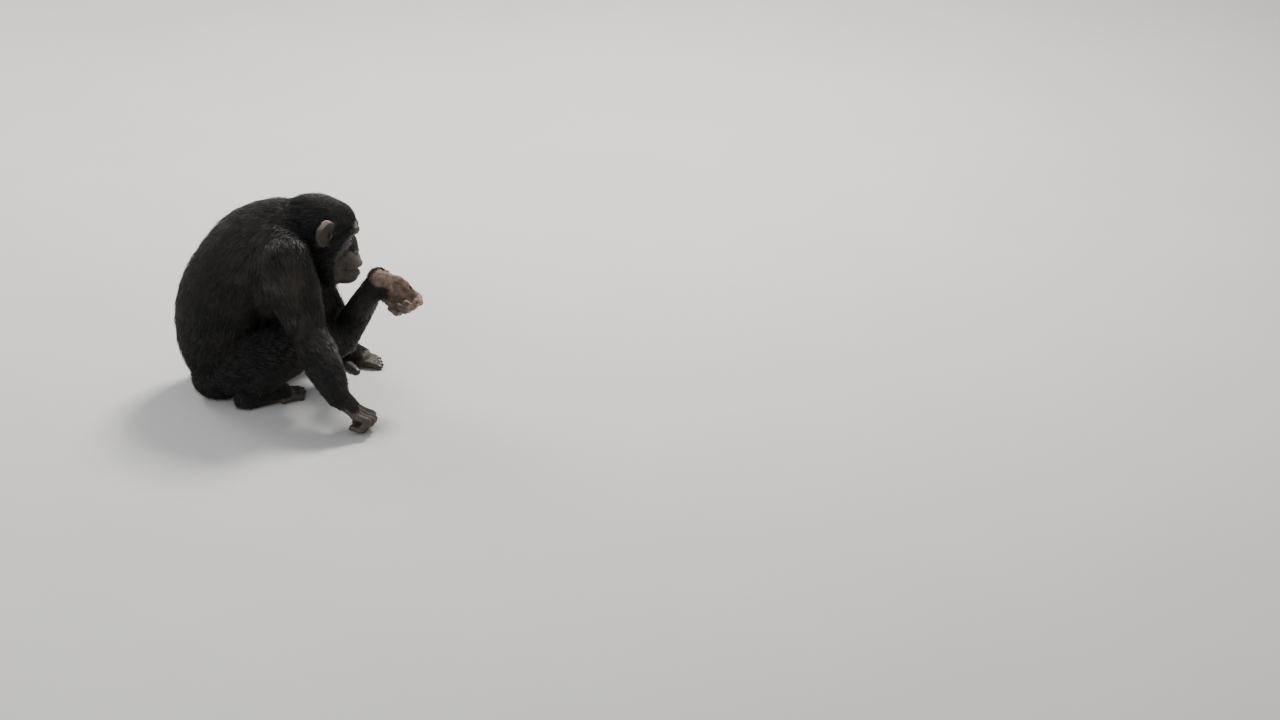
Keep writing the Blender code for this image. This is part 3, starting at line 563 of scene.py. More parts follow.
EAR_PLACE = (0.008, 0.067, 0.029)
EAR_HALF_LONG = 0.026
EAR_HALF_HIGH = 0.035
EAR_DISH = 0.009
EAR_PLATE_DEPTH = EAR_DISH * 0.75
EAR_PLATE_OUT = EAR_DISH * 0.4
EAR_CUP_OUT = EAR_DISH * 1.15
EAR_CUP_HALVES = (EAR_HALF_LONG * 0.80, EAR_HALF_HIGH * 0.82, EAR_DISH)
EAR_RIM = 0.0029
EAR_RIM_TURNS = (-140, 165)
EAR_RIDGE_TURNS = (-35, 155)
EAR_FORK_TURNS = (-75, -30, 15, 60)
EAR_FLAP_LINE = ((-0.62, 0.10, 0.005), (-0.55, -0.12, 0.008), (-0.50, -0.34, 0.005))
EAR_LOBE_PLACE = (-0.10, -0.88)
EAR_LOBE = (0.009, 0.010, 0.005)
EAR_RIDGE = 0.0032
EAR_FORK = 0.0026
EAR_FLAP = 0.0046
EAR_VOXEL = 0.0018


def ear_axes(way):
    """The ways along an ear to its back, up it, and out of its face."""
    back = Vector((-0.80, way * 0.60, 0)).normalized()
    high = Vector((-0.10, way * 0.16, 1)).normalized()
    return back, high, back.cross(high) * way


def ear(way):
    """One ear, made of a dished plate, a rim, a forked inner ridge and the flap before its hole."""
    centre = Vector(sided(EAR_PLACE, way))
    back, high, deep = ear_axes(way)

    def spot(along, up, out=0.0):
        """A place on the ear, in shares of its half length and half height, and metres out of its face."""
        return centre + back * along * EAR_HALF_LONG + high * up * EAR_HALF_HIGH + deep * out

    def arc(turns, long, tall, up=0.0, out=0.0):
        """Places round an oval of these shares of the ear's half length and half height."""
        return [spot(long * math.sin(turn), up + tall * math.cos(turn), out) for turn in np.radians(turns)]

    degrees = [math.degrees(angle) for angle in Matrix((back * way, high, deep)).transposed().to_euler()]
    rim = arc(np.linspace(*EAR_RIM_TURNS, 13), 1, 1)
    ridge = arc(np.linspace(*EAR_RIDGE_TURNS, 9), 0.58, 0.64, out=0.0035)
    fork = arc(EAR_FORK_TURNS, 0.56, 0.30, 0.30, 0.003)
    flap = [spot(*place) for place in EAR_FLAP_LINE]
    plate = lump(spot(0, 0, EAR_PLATE_OUT), (EAR_HALF_LONG, EAR_HALF_HIGH, EAR_PLATE_DEPTH), degrees)
    lobe = lump(spot(*EAR_LOBE_PLACE), EAR_LOBE, degrees)
    made = melted("ear", [plate, lobe, rod(rim, EAR_RIM, deep)], EAR_VOXEL, 2, head_frame)
    cup = lump(spot(0, 0, EAR_CUP_OUT), EAR_CUP_HALVES, degrees)
    cut(made, [joined("cup", [cup], head_frame)])
    inner = [rod(ridge, EAR_RIDGE, deep), rod(fork, EAR_FORK, deep), rod(flap, EAR_FLAP, deep)]
    extras = melted("extras", inner, EAR_VOXEL, 2, head_frame)
    cut(made, [extras], "UNION")
    return finished(made, "SMOOTH", factor=0.5, iterations=2)


# Skin
# All of the flesh as one skin with no seam: bare and folded on the face, ears, palms and soles, and dark
# under the coat. It is flat where it rests on the floor.

skin = cut(body, [ends, head, ear(-1), ear(1)], "UNION")
skin.name = "skin"
deselect_all()
bpy.ops.mesh.primitive_cube_add(size=2, location=(0, 0, 1))
floor_side = bpy.context.object
finished(skin, "BOOLEAN", operation="INTERSECT", solver="MANIFOLD", object=floor_side)
bpy.data.objects.remove(floor_side, do_unlink=True)


def smooth_step(low, high, values):
    """0 below low, 1 above high, and a smooth rise between them."""
    share = np.clip((values - low) / (high - low), 0, 1)
    return share * share * (3 - 2 * share)


def points_of(mesh, what="co"):
    """The places or normals of the mesh's vertices as rows."""
    rows = np.empty(len(mesh.vertices) * 3)
    if what == "co":
        mesh.vertices.foreach_get("co", rows)
    else:
        mesh.vertex_normals.foreach_get("vector", rows)
    return rows.reshape(-1, 3)


def in_head(points):
    """Rows of world places in the head's own frame."""
    inverse = np.array(head_frame.inverted())
    return points @ inverse[:3, :3].T + inverse[:3, 3]


SCALP = HEAD_MASSES["skull"][0]
SCALP_HALVES = (0.0865, 0.0645, 0.0595)
EAR_EDGE = 1.25


def ear_cover(points):
    """How much each place belongs to an ear, how near its rim it is, how high up, and how far off the ear."""
    x, y, z = in_head(points).T
    reach = np.stack([x, np.abs(y), z], axis=1) - np.array(EAR_PLACE)
    back, high, deep = (np.array(axis) for axis in ear_axes(1))
    up = reach @ high / EAR_HALF_HIGH
    ring = np.hypot(reach @ back / EAR_HALF_LONG, up)
    off_skull = sum(((row - middle) / half) ** 2 for row, middle, half in zip((x, y, z), SCALP, SCALP_HALVES))
    gap = np.abs(reach @ deep)
    cover = (ring < EAR_EDGE) * np.maximum(gap < 0.008, (gap < 0.023) * smooth_step(1.03, 1.09, off_skull))
    rim = smooth_step(0.84, 0.98, ring) * smooth_step(-0.006, 0.000, reach @ deep)
    return cover, rim, up, ring + smooth_step(0.022, 0.034, gap)


ARM_END = ((0.98, 1.05), (0.90, 1.02))
HAND_REACH = 0.17
FOOT_REACH = 0.19
FOOT_TOP = 0.075


def beside_line(points, start, end):
    """How far along a line each place is, as a share that goes on past its ends, and its reach from it."""
    start, span = np.array(start), np.array(end) - np.array(start)
    share = (points - start) @ span / (span @ span)
    return share, points - start - np.clip(share, 0, 1)[:, None] * span


def hand_places(points, side):
    """Places on a hand: how far along it (0 wrist, 1 knuckles), out of its back and towards its thumb.

    The fourth row is 1 off the forearm and 0 on it.
    """
    along, out, thumb_way = (np.array(axis) for axis in hand_axes(side))
    reach = points - np.array(WRIST[side])
    near = np.linalg.norm(reach, axis=1) < HAND_REACH
    share = np.where(near, reach @ along / PALM_LENGTH, -2.0)
    beyond, off = beside_line(points, ELBOW[side], WRIST[side])
    half = np.interp(beyond, (0, *FOREARM_SHARES, 1), FOREARM_HALVES[side] + WRIST_HALVES[side][:1])
    gap = np.linalg.norm(off, axis=1) - half
    off_arm = np.maximum(smooth_step(0.002, 0.012, gap), smooth_step(*ARM_END[side], beyond))
    return share, reach @ out, reach @ thumb_way, off_arm


def foot_places(points, side):
    """Places on a foot: 1 near the ankle and 0 elsewhere, how far on towards the toes, and to the inside."""
    along, inside = (np.array(axis) for axis in foot_axes(side))
    reach = points - np.array(ANKLE[side])
    near = (np.linalg.norm(reach, axis=1) < FOOT_REACH) * (points[:, 2] < FOOT_TOP)
    return near, reach @ along / (FOOT_LENGTH * BALL_SHARE), reach @ inside


FACE_HALF = 0.052
FACE_MIDDLE = -0.034
FACE_TALL = 0.084
HEAD_REACH = 0.165
HAIR_END = (0.05, -0.60)
BACK_HAIR = (0.55, 0.50)


def bare_share(points):
    """How bare the skin is at each place: 1 on face, ears, palms, fingers and toes, 0 under the coat."""
    x, y, z = in_head(points).T
    oval = (y / FACE_HALF) ** 4 + ((z - FACE_MIDDLE) / FACE_TALL) ** 4
    face = (1 - smooth_step(0.75, 1.10, oval)) * smooth_step(0.032, 0.048, x + 0.25 * np.minimum(z, 0.03))
    face *= x * x + y * y + z * z < HEAD_REACH**2
    bare = np.maximum(face, ear_cover(points)[0])
    for side in (0, 1):
        share, out, _, off_arm = hand_places(points, side)
        first = HAIR_END[side] + BACK_HAIR[side] * smooth_step(0.000, 0.010, out)
        bare = np.maximum(bare, smooth_step(0, 0.30, share - first) * off_arm)
        near, share, inside = foot_places(points, side)
        toes = np.maximum(smooth_step(0.80, 1.15, share), smooth_step(0.034, 0.046, inside) * (share > 0.3))
        bare = np.maximum(bare, near * np.maximum(toes, 1 - smooth_step(0.014, 0.026, points[:, 2])))
    return bare


EYE_FOLDS = 0.00045
BROW_FOLDS = 0.00040
LIP_FOLDS = 0.00022
MUZZLE_FOLDS = 0.00025


def band(values, middle, width):
    """1 in the middle of a band that fades out over this width."""
    return np.exp(-(((values - middle) / width) ** 2))


def ripples(values, step):
    """Waves between -1 and 1, this far apart."""
    return np.sin(2 * np.pi * values / step)


def crinkles(points):
    """How far the skin rises in fine folds: under the eyes, across the brow and round the lips and muzzle."""
    x, y, z = in_head(points).T
    side = np.abs(y)
    around = np.hypot(side - EYE_PLACE[1], z - EYE_PLACE[2])
    below = smooth_step(-0.002, 0.006, EYE_PLACE[2] - z)
    eye = band(around, 0.021, 0.007) * below * ripples(around, 0.0046)
    over = band(z, 0.040, 0.010) * ripples(z + 0.06 * side, 0.0050)
    lips = band(z, MOUTH_HEIGHT, 0.014) * np.sin(2 * np.pi * y / 0.0042 + 9 * z / 0.01)
    muzzle = band(z, -0.044, 0.012) * ripples(z + 0.25 * side, 0.0056)
    folds = EYE_FOLDS * eye + BROW_FOLDS * over + LIP_FOLDS * lips + MUZZLE_FOLDS * muzzle
    return smooth_step(0.040, 0.060, x) * folds


places = points_of(skin.data)
folded = places + points_of(skin.data, "normal") * crinkles(places)[:, None]
skin.data.vertices.foreach_set("co", folded.ravel())
skin.data.update()


class Socket:
    """A shader value: a number, a colour or a node's output, with Python's operators on it."""

    def __init__(self, shader, value):
        self.shader = shader
        self.value = value

    def maths(self, operation, *others):
        values = [self.value] + [other.value if isinstance(other, Socket) else other for other in others]
        return self.shader.node("ShaderNodeMath", {"operation": operation}, dict(enumerate(values)))

    def __add__(self, other):
        return self.maths("ADD", other)

    def __sub__(self, other):
        return self.maths("SUBTRACT", other)

    def __rsub__(self, other):
        return Socket(self.shader, other).maths("SUBTRACT", self)

    def __mul__(self, other):
        return self.maths("MULTIPLY", other)

    __radd__ = __add__
    __rmul__ = __mul__

    def clear(self):
        """The value kept between 0 and 1."""
        return self.shader.node("ShaderNodeClamp", {}, {"Value": self})

    def above(self, low, high):
        """0 below low and 1 above high."""
        values = {"Value": self, "From Min": low, "From Max": high}
        return self.shader.node("ShaderNodeMapRange", {"interpolation_type": "SMOOTHSTEP"}, values)

    def mix(self, low, high):
        """The colour low where this is 0 and high where it is 1."""
        values = {"Factor": self, "A": low, "B": high}
        return self.shader.node("ShaderNodeMix", {"data_type": "RGBA"}, values, "Result")


class Shader:
    """A material's nodes, made and joined one at a time."""

    def __init__(self, name):
        self.material = bpy.data.materials.new(name)
        self.material.use_nodes = True
        self.tree = self.material.node_tree
        self.principled = self.tree.nodes["Principled BSDF"]
        self.place = self.node("ShaderNodeTexCoord", {}, {}, "Object")

    def node(self, kind, settings, values, output=None):
        """A node with these settings, its sockets set or joined, as a Socket of one output."""
        made = self.tree.nodes.new(kind)
        for key, value in settings.items():
            setattr(made, key, value)
        for key, value in values.items():
            named = [socket for socket in made.inputs if socket.name == key and socket.enabled]
            self.give(named[0] if named else made.inputs[key], value)
        outputs = [s for s in made.outputs if s.enabled and (output is None or s.name == output)]
        return Socket(self, outputs[0])

    def give(self, socket, value):
        """Sets or joins one socket."""
        value = value.value if isinstance(value, Socket) else value
        if isinstance(value, bpy.types.NodeSocket):
            self.tree.links.new(value, socket)
        elif isinstance(value, tuple):
            socket.default_value = (*value, 1) if len(socket.default_value) == 4 else value
        else:
            socket.default_value = value

    def noise(self, scale, detail=3.0, rough=0.55):
        """Cloudy noise of this scale in each metre."""
        values = {"Vector": self.place, "Scale": scale, "Detail": detail, "Roughness": rough}
        return self.node("ShaderNodeTexNoise", {}, values)

    def cells(self, scale, feature="F1"):
        """The distance from cell centres or edges, of this scale in each metre."""
        values = {"Vector": self.place, "Scale": scale}
        return self.node("ShaderNodeTexVoronoi", {"feature": feature}, values, "Distance")

    def attribute(self, name):
        """A number stored at the mesh's points."""
        return self.node("ShaderNodeAttribute", {"attribute_name": name}, {}, "Fac")

    def finish(self, height=None, depth=0.0005, strength=1.0, **sockets):
        """Sets sockets by name, with underscores for spaces, and the bump, and gives the material."""
        for key, value in sockets.items():
            self.give(self.principled.inputs[key.replace("_", " ")], value)
        if height:
            values = {"Height": height, "Distance": depth, "Strength": strength}
            self.give(self.principled.inputs["Normal"], self.node("ShaderNodeBump", {}, values))
        return self.material


def store(mesh, name, values):
    """Keeps a number for each vertex under this name."""
    stored = mesh.attributes.new(name, "FLOAT", "POINT")
    stored.data.foreach_set("value", np.ascontiguousarray(values, np.float32))


# Painted sunlight on the hands: tan skin, made pale on the held-out left hand and brightest towards its thumb
# side; the right hand is barely tanned, a shaded copy of the same skin
HAND_SUNLIT_SHARES = (0.12, 1.0)
x, y, z = in_head(places).T
ear_share, rim_share, ear_height, _ = ear_cover(places)
# Painted highlight on the brow ridge, where light catches it; the muzzle is made paler as well
brow_highlight_share = band(z, 0.034, 0.008) * smooth_step(0.070, 0.084, x) * (np.abs(y) < 0.05)
muzzle_share = smooth_step(0.082, 0.104, x) * (1 - smooth_step(-0.034, -0.022, z))
limb_share = np.zeros(len(places))
sunlit_tan_share = np.zeros(len(places))
for side, sunlit_tan in enumerate(HAND_SUNLIT_SHARES):
    share, out, thumb, off_arm = hand_places(places, side)
    on_hand = smooth_step(-0.10, 0.20, share - HAIR_END[side])
    limb_share = np.maximum(limb_share, on_hand)
    sunlit_tan_share = np.maximum(sunlit_tan_share, on_hand * sunlit_tan * (0.35 + 0.65 * smooth_step(-0.020, 0.030, thumb)))
    limb_share = np.maximum(limb_share, foot_places(places, side)[0])
store(skin.data, "bare", bare_share(places))
store(skin.data, "ear", ear_share)
# Painted highlight: the top of each ear's rim is painted pale as sunlit skin, fading out lower down the rim
store(skin.data, "rim", rim_share * (0.06 + 0.94 * smooth_step(0.35, 0.90, ear_height)))
store(skin.data, "light", np.clip(brow_highlight_share * 0.35 + muzzle_share * 0.7, 0, 1))
store(skin.data, "limb", limb_share)
store(skin.data, "sunlit_tan", sunlit_tan_share)

UNDERCOAT = (0.010, 0.009, 0.008)
FACE_DARK = (0.030, 0.025, 0.021)
FACE_TONE = (0.060, 0.048, 0.039)
FACE_HIGHLIGHT_AND_PALE = (0.120, 0.096, 0.078)
# The ear's dark skin, darkened further as painted shade, then the pale painted highlight for the top of its
# rim
EAR_TONE = (0.034, 0.026, 0.021)
EAR_RIM_HIGHLIGHT = (0.300, 0.245, 0.205)
LIMB_DARK = (0.034, 0.027, 0.022)
LIMB_TONE = (0.078, 0.060, 0.048)
# Tan hand skin, partly its own tan and partly pale as painted sunlight
SUNLIT_TAN_DARK = (0.150, 0.095, 0.068)
SUNLIT_TAN_TONE = (0.320, 0.215, 0.160)
shader = Shader("skin")
blotches = shader.noise(60, 4).above(0.35, 0.65)
pores = shader.noise(900, 2)
lines = shader.cells(620, "DISTANCE_TO_EDGE").above(0.0, 0.14)
face = blotches.mix(FACE_DARK, FACE_TONE)
# The brow's painted highlight and the paler muzzle
face = shader.attribute("light").mix(face, FACE_HIGHLIGHT_AND_PALE)
# Ear colour: the dark tone is partly painted shade, with a painted highlight along the top of the rim
ear_colour = shader.attribute("rim").mix(EAR_TONE, EAR_RIM_HIGHLIGHT)
face = shader.attribute("ear").mix(face, ear_colour)
# Pale tan skin on the left hand, partly its own tan and partly painted sunlight
sunlit_tan = blotches.mix(SUNLIT_TAN_DARK, SUNLIT_TAN_TONE)
limb_colour = shader.attribute("sunlit_tan").mix(blotches.mix(LIMB_DARK, LIMB_TONE), sunlit_tan)
bare = shader.attribute("limb").mix(face, limb_colour)
bare = (lines * 0.22 + 0.78).mix(LIMB_DARK, bare)
colour = shader.attribute("bare").mix(UNDERCOAT, bare)
height = pores * 0.4 + lines * 0.4
roughness = blotches * 0.12 + pores * 0.10 + 0.46
looks = {"Base_Color": colour, "Roughness": roughness, "Specular_IOR_Level": 0.45}
skin.data.materials.clear()
skin.data.materials.append(shader.finish(height, 0.0004, 0.7, **looks))
deselect_all()
skin.select_set(True)
bpy.context.view_layer.objects.active = skin
bpy.ops.object.shade_smooth()
flesh = ["head", "neck", "chest", "belly", "pelvis"]
for side in SIDES:
    for part in ("ear", "upper_arm", "forearm", "hand", "thigh", "shin", "foot"):
        flesh.append(f"{part}_{side}")
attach(skin, "root")
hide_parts(*flesh)

# Nails
# Flat dark horn plates, one over the end of each finger and toe, set a little into the skin.

NAIL_LENGTH = 1.05
NAIL_WIDTH = 0.66
NAIL_THICK = 0.26
NAIL_RISE = 0.72
NAIL_AHEAD = 0.25
HORN_DARK = (0.020, 0.014, 0.011)
HORN_TONE = (0.056, 0.040, 0.031)
nails = []
for point, along, out, half in nail_places:
    side = along.cross(out)
    place = Matrix((along, side, out)).transposed().to_4x4()
    place.translation = point + out * half * NAIL_RISE + along * half * NAIL_AHEAD
    plate = lump((0, 0, 0), (half * NAIL_LENGTH, half * NAIL_WIDTH, half * NAIL_THICK), segments=16)
    nails.append(joined("nail", [plate], place))
nails = joined("nails", nails)
shader = Shader("horn")
streaks = shader.noise(300, 3)
colour = streaks.above(0.3, 0.7).mix(HORN_DARK, HORN_TONE)
looks = {"Base_Color": colour, "Roughness": streaks * 0.2 + 0.34}
nails.data.materials.append(shader.finish(streaks, 0.0003, 0.4, **looks))
bpy.ops.object.shade_smooth()
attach(nails, "root")

# Eyes
# Wet brown eyeballs with dark whites, deep under the brow, each a ball with a clear bulge over its iris.

GAZE = (0.96, 0.10, -0.15)
IRIS_SHARE = 0.56
PUPIL_SHARE = 0.22
BULGE = 0.07
IRIS = ((0.020, 0.009, 0.004), (0.066, 0.030, 0.013))
WHITE = ((0.045, 0.028, 0.018), (0.110, 0.080, 0.060))
PUPIL = (0.002, 0.002, 0.002)
for side, way in zip(SIDES, (-1, 1)):
    centre = Vector(sided(EYE_PLACE, way))
    eye = joined(f"eyeball_{side}", [lump(centre, (EYE_RADIUS,) * 3, segments=48)], head_frame)
    middle = head_frame @ centre
    gaze = (head_to_world @ Vector(sided(GAZE, way))).normalized()
    rows = points_of(eye.data) - np.array(middle)
    radius = EYE_RADIUS * HEAD_SIZE
    turned = rows @ np.array(gaze) / radius
    spread = np.sqrt(np.clip(1 - turned**2, 0, 1)) + (turned < 0) * 2
    bulge = 1 + BULGE * np.clip(1 - (spread / IRIS_SHARE) ** 2, 0, 1)
    eye.data.vertices.foreach_set("co", (rows * bulge[:, None] + np.array(middle)).ravel())
    store(eye.data, "spread", spread)
    shader = Shader(f"eye_{side}")
    spread = shader.attribute("spread")
    rays = shader.noise(1400, 2)
    iris = rays.mix(*IRIS)
    white = shader.noise(700, 3).mix(*WHITE)
    colour = spread.above(IRIS_SHARE - 0.05, IRIS_SHARE + 0.03).mix(iris, white)
    colour = spread.above(PUPIL_SHARE - 0.03, PUPIL_SHARE + 0.03).mix(PUPIL, colour)
    eye.data.materials.append(shader.finish(Base_Color=colour, Roughness=rays * 0.03 + 0.015))
    bpy.ops.object.shade_smooth()
    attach(eye, "root")
    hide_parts(f"eye_{side}")

# Coat
# Coarse straight black hair in fine tufts that lie along the body: back along the crown, down the back and
# the upper arm, from the wrist up to the elbow, and down the legs. Each tuft is a thin solid spike that
# leaves the skin at its root and bends with it. Tufts lean together at their tips.

COAT_TUFTS = 112000
COAT_SEED = 21
LOCK_TUFTS = 16
MOST_TUFTS = 19000
HAIRLINE = (0.30, 0.75)
LOWEST_ROOT = 0.003
CROWD_LENGTH = 0.040
MOST_CROWDED = 2.6
EAR_HAIR = 0.40
LENGTHS = (0.70, 1.20)
LIFTS = (0.45, 1.10)
STRAYS = 0.06
STRAY_LIFT = 0.6
SWAY = np.radians(9)
SCATTER = np.radians(7)
BEND = 0.45
BEND_LIFT = 0.75
BEND_LEAN = 0.35
KEPT_WAY = 0.6
LOCK_TONE = 0.6
LEANS = (0.25, 0.60)
ROOT_DEPTH = 0.0012
FLOOR_CLEAR = 0.0006
TUFT_WIDTH = 0.050
TUFT_WIDTHS = (0.0009, 0.0021)
WRAP_KEPT = 0.06
GROUPS = ("head", "trunk", "right_arm", "left_arm", "right_leg", "left_leg")


def head_place(*place):
    """A place of the head's own frame in the world."""
    return head_frame @ Vector(place)


# Strokes of the coat's lie: group, start, end, how far the skin is from the line, hair length, lift, and how
# much the hair turns round the line, where the ways of two strokes would part or meet
strokes = []
spine = [station[0] for station in (NAPE, COLLAR, BREAST, RIBS, WAIST, LOIN, SEAT)]
for a, b, half in zip(spine, spine[1:], (0.085, 0.115, 0.125, 0.125, 0.115, 0.095)):
    strokes.append((1, a, b, half, 0.046, 0.0085, 0))
for side in (0, 1):
    shoulder, elbow, wrist = SHOULDER[side], ELBOW[side], WRIST[side]
    group, turn = 2 + side, (1, -1)[side]
    upper_end = between(shoulder, elbow, 0.80)
    lower_end = between(elbow, wrist, 0.15)
    parting = between(elbow, wrist, 0.74)
    parting_end = between(elbow, wrist, 0.86)
    hand_end = Vector(wrist) + Vector(HAND_ALONG[side]).normalized() * PALM_LENGTH
    strokes.append((1, COLLAR[0], shoulder, 0.062, 0.048, 0.0090, 0))
    strokes.append((group, shoulder, upper_end, 0.058, 0.052, 0.0095, 0))
    strokes.append((group, between(shoulder, elbow, 0.92), elbow, 0.046, 0.040, 0.0080, turn))
    strokes.append((group, parting, lower_end, 0.042, 0.042, 0.0080 - 0.0030 * side, 0))
    strokes.append((group, parting, parting_end, 0.036, 0.026, 0.0050, 1))
    strokes.append((group, parting_end, wrist, 0.032, 0.020, 0.0040, 0))
    strokes.append((group, wrist, hand_end, 0.022, 0.016, 0.0030, 0))
    strokes.append((4 + side, HIP[side], KNEE[side], 0.065, 0.040, 0.0080, 0))
    strokes.append((4 + side, KNEE[side], ANKLE[side], 0.040, 0.030, 0.0070, 0))
    x, y, _ = foot_axes(side)[0]
    toes = Vector(ANKLE[side]) + Vector((x, y, -0.2)) * FOOT_LENGTH * 0.6
    strokes.append((4 + side, ANKLE[side], toes, 0.022, 0.014, 0.0030, 0))
brow = head_place(0.085, 0, 0.030)
crown = head_place(-0.020, 0, 0.034)
nape = head_place(-0.095, 0, 0.005)
strokes.append((0, brow, crown, 0.054, 0.015, 0.0040, 0))
strokes.append((0, crown, nape, 0.054, 0.026, 0.0060, 0))
chin, throat = head_place(0.070, 0, -0.095), head_place(0.000, 0, -0.120)
strokes.append((0, chin, throat, 0.030, 0.018, 0.0040, 0))
for way in (-1, 1):
    cheek, jaw = head_place(0.055, way * 0.030, 0.000), head_place(-0.020, way * 0.032, -0.060)
    strokes.append((0, cheek, jaw, 0.026, 0.022, 0.0055, 0))


def unit(rows):
    """Rows made one long."""
    return rows / np.maximum(np.linalg.norm(rows, axis=1, keepdims=True), 1e-9)


def lie_at(points):
    """The way of the coat, the hair's length and lift, and the group, at rows of places near the skin."""
    weights, ways = [], []
    for _, start, end, half, _, _, turn in strokes:
        span = np.array(end) - np.array(start)
        _, reach = beside_line(points, start, end)
        gap = np.linalg.norm(reach, axis=1) - half
        weights.append(1 / (np.maximum(gap, 0) ** 2 + 0.015**2) ** 2)
        ways.append(unit(span * (1 - abs(turn)) + np.cross(span, unit(reach)) * turn))
    weights = np.array(weights)
    weights = (weights / weights.sum(axis=0)).T
    way = sum(share[:, None] * rows for share, rows in zip(weights.T, ways))
    length = weights @ np.array([stroke[4] for stroke in strokes])
    lift = weights @ np.array([stroke[5] for stroke in strokes])
    group = np.array([stroke[0] for stroke in strokes])[weights.argmax(axis=1)]
    return way, length, lift, group


def nearest(tree, points):
    """The closest places on the skin, its normals there and its face numbers."""
    found = [tree.find_nearest(point)[:3] for point in points.tolist()]
    return [np.array(column) for column in zip(*found)]


def along_skin(way, normals):
    """The ways with what points out of the skin taken off."""
    return unit(way - normals * (way * normals).sum(axis=1, keepdims=True))


def corners_of(mesh):
    """The vertex numbers of each of the mesh's triangles."""
    mesh.calc_loop_triangles()
    index = np.empty(len(mesh.loop_triangles) * 3, np.int32)
    mesh.loop_triangles.foreach_get("vertices", index)
    return index.reshape(-1, 3)


# The skin's own unwrap, on a lighter copy of it, gives each tuft its place on the coat's map
deselect_all()
wrap = skin.copy()
wrap.data = skin.data.copy()
bpy.context.scene.collection.objects.link(wrap)
finished(wrap, "DECIMATE", ratio=WRAP_KEPT)
bpy.ops.object.mode_set(mode="EDIT")
bpy.ops.mesh.select_all(action="SELECT")
bpy.ops.mesh.quads_convert_to_tris()
bpy.ops.uv.smart_project(angle_limit=math.radians(66), island_margin=0.003)
bpy.ops.object.mode_set(mode="OBJECT")
wrap_tree = search_tree(wrap)
wrap_corners = points_of(wrap.data)[corners_of(wrap.data)]
wrap_map = np.empty(len(wrap.data.loops) * 2)
wrap.data.uv_layers.active.data.foreach_get("uv", wrap_map)
wrap_map = wrap_map.reshape(-1, 3, 2)
bpy.data.objects.remove(wrap, do_unlink=True)

chance = np.random.default_rng(COAT_SEED)
corner_index = corners_of(skin.data)
corners = points_of(skin.data)[corner_index]
middles = corners.mean(axis=1)
areas = np.linalg.norm(np.cross(corners[:, 1] - corners[:, 0], corners[:, 2] - corners[:, 0]), axis=1)
haired = 1 - smooth_step(*HAIRLINE, bare_share(middles))
haired *= middles[:, 2] > LOWEST_ROOT
chances = areas * haired * np.clip(CROWD_LENGTH / lie_at(middles)[1], 1.0, MOST_CROWDED)
picked = np.sort(chance.choice(len(corners), COAT_TUFTS, p=chances / chances.sum()))
shares = chance.dirichlet((1, 1, 1), COAT_TUFTS)
roots = (corners[picked] * shares[:, :, None]).sum(axis=1)
normals = points_of(skin.data, "normal")[corner_index[picked]]
normals = unit((normals * shares[:, :, None]).sum(axis=1))
skin_tree = search_tree(skin)

# Each tuft bends over the skin in two steps, and its tip leans to the tuft that leads its lock
way, length, lift, group = lie_at(roots)
shorter = EAR_HAIR + (1 - EAR_HAIR) * smooth_step(1.0, 1.7, ear_cover(roots)[3])
length = length * shorter * chance.uniform(*LENGTHS, COAT_TUFTS)
lift = lift * (chance.uniform(*LIFTS, COAT_TUFTS) + (chance.random(COAT_TUFTS) < STRAYS) * STRAY_LIFT)
swirl = 1.3 * np.sin(roots @ np.array((-35.0, 71.0, 28.0)))
sway = SWAY * np.sin(roots @ np.array((61.0, 47.0, 53.0)) + swirl)
sway += SCATTER * chance.standard_normal(COAT_TUFTS)
way = along_skin(way, normals)
way = unit(way * np.cos(sway)[:, None] + np.cross(normals, way) * np.sin(sway)[:, None])
middle, middle_normal, _ = nearest(skin_tree, roots + way * (length * BEND)[:, None])
way_on = along_skin(way * KEPT_WAY + lie_at(middle)[0] * (1 - KEPT_WAY), middle_normal)
tip, tip_normal, _ = nearest(skin_tree, middle + way_on * (length * (1 - BEND))[:, None])
leaders = chance.choice(COAT_TUFTS, COAT_TUFTS // LOCK_TUFTS, replace=False)
kd = KDTree(len(leaders))
for k, point in enumerate(roots[leaders].tolist()):
    kd.insert(point, k)
kd.balance()
leader = leaders[[kd.find(point)[1] for point in roots.tolist()]]
lean = chance.uniform(*LEANS, COAT_TUFTS)[:, None]
tip = tip + (roots[leader] - roots) * lean
middle = middle + (roots[leader] - roots) * lean * BEND_LEAN
tips = tip + tip_normal * lift[:, None]
middles = middle + middle_normal * (lift * BEND_LIFT)[:, None]
starts = roots - normals * ROOT_DEPTH
tone = LOCK_TONE * chance.random(COAT_TUFTS)[leader] + (1 - LOCK_TONE) * chance.random(COAT_TUFTS)

_, _, wrap_face = nearest(wrap_tree, roots)
a, b, c = (wrap_corners[wrap_face][:, k] for k in range(3))
whole = np.linalg.norm(np.cross(b - a, c - a), axis=1) + 1e-12
share_b = np.linalg.norm(np.cross(roots - a, c - a), axis=1) / whole
share_c = np.linalg.norm(np.cross(b - a, roots - a), axis=1) / whole
share_a = np.clip(1 - share_b - share_c, 0, 1)
total = share_a + share_b + share_c
corner_shares = np.stack([share_a / total, share_b / total, share_c / total], axis=1)
root_map = (wrap_map[wrap_face] * corner_shares[:, :, None]).sum(axis=1)

# Each tuft has a ring of three points at its root, another where it bends, and its tip
RING = 3
TUFT_POINTS = 2 * RING + 1
FACES = ((2, 1, 0), (0, 1, 4, 3), (1, 2, 5, 4), (2, 0, 3, 5), (3, 4, 6), (4, 5, 6), (5, 3, 6))
face_corners = np.concatenate(FACES)
face_starts = np.cumsum([0] + [len(face) for face in FACES[:-1]])
PATCH = 0.003
TUFT_MAP = np.array([(-0.5, -0.5), (-0.5, 0.5), (-0.5, 0), (0, -0.4), (0, 0.4), (0, 0), (0.5, 0)]) * PATCH

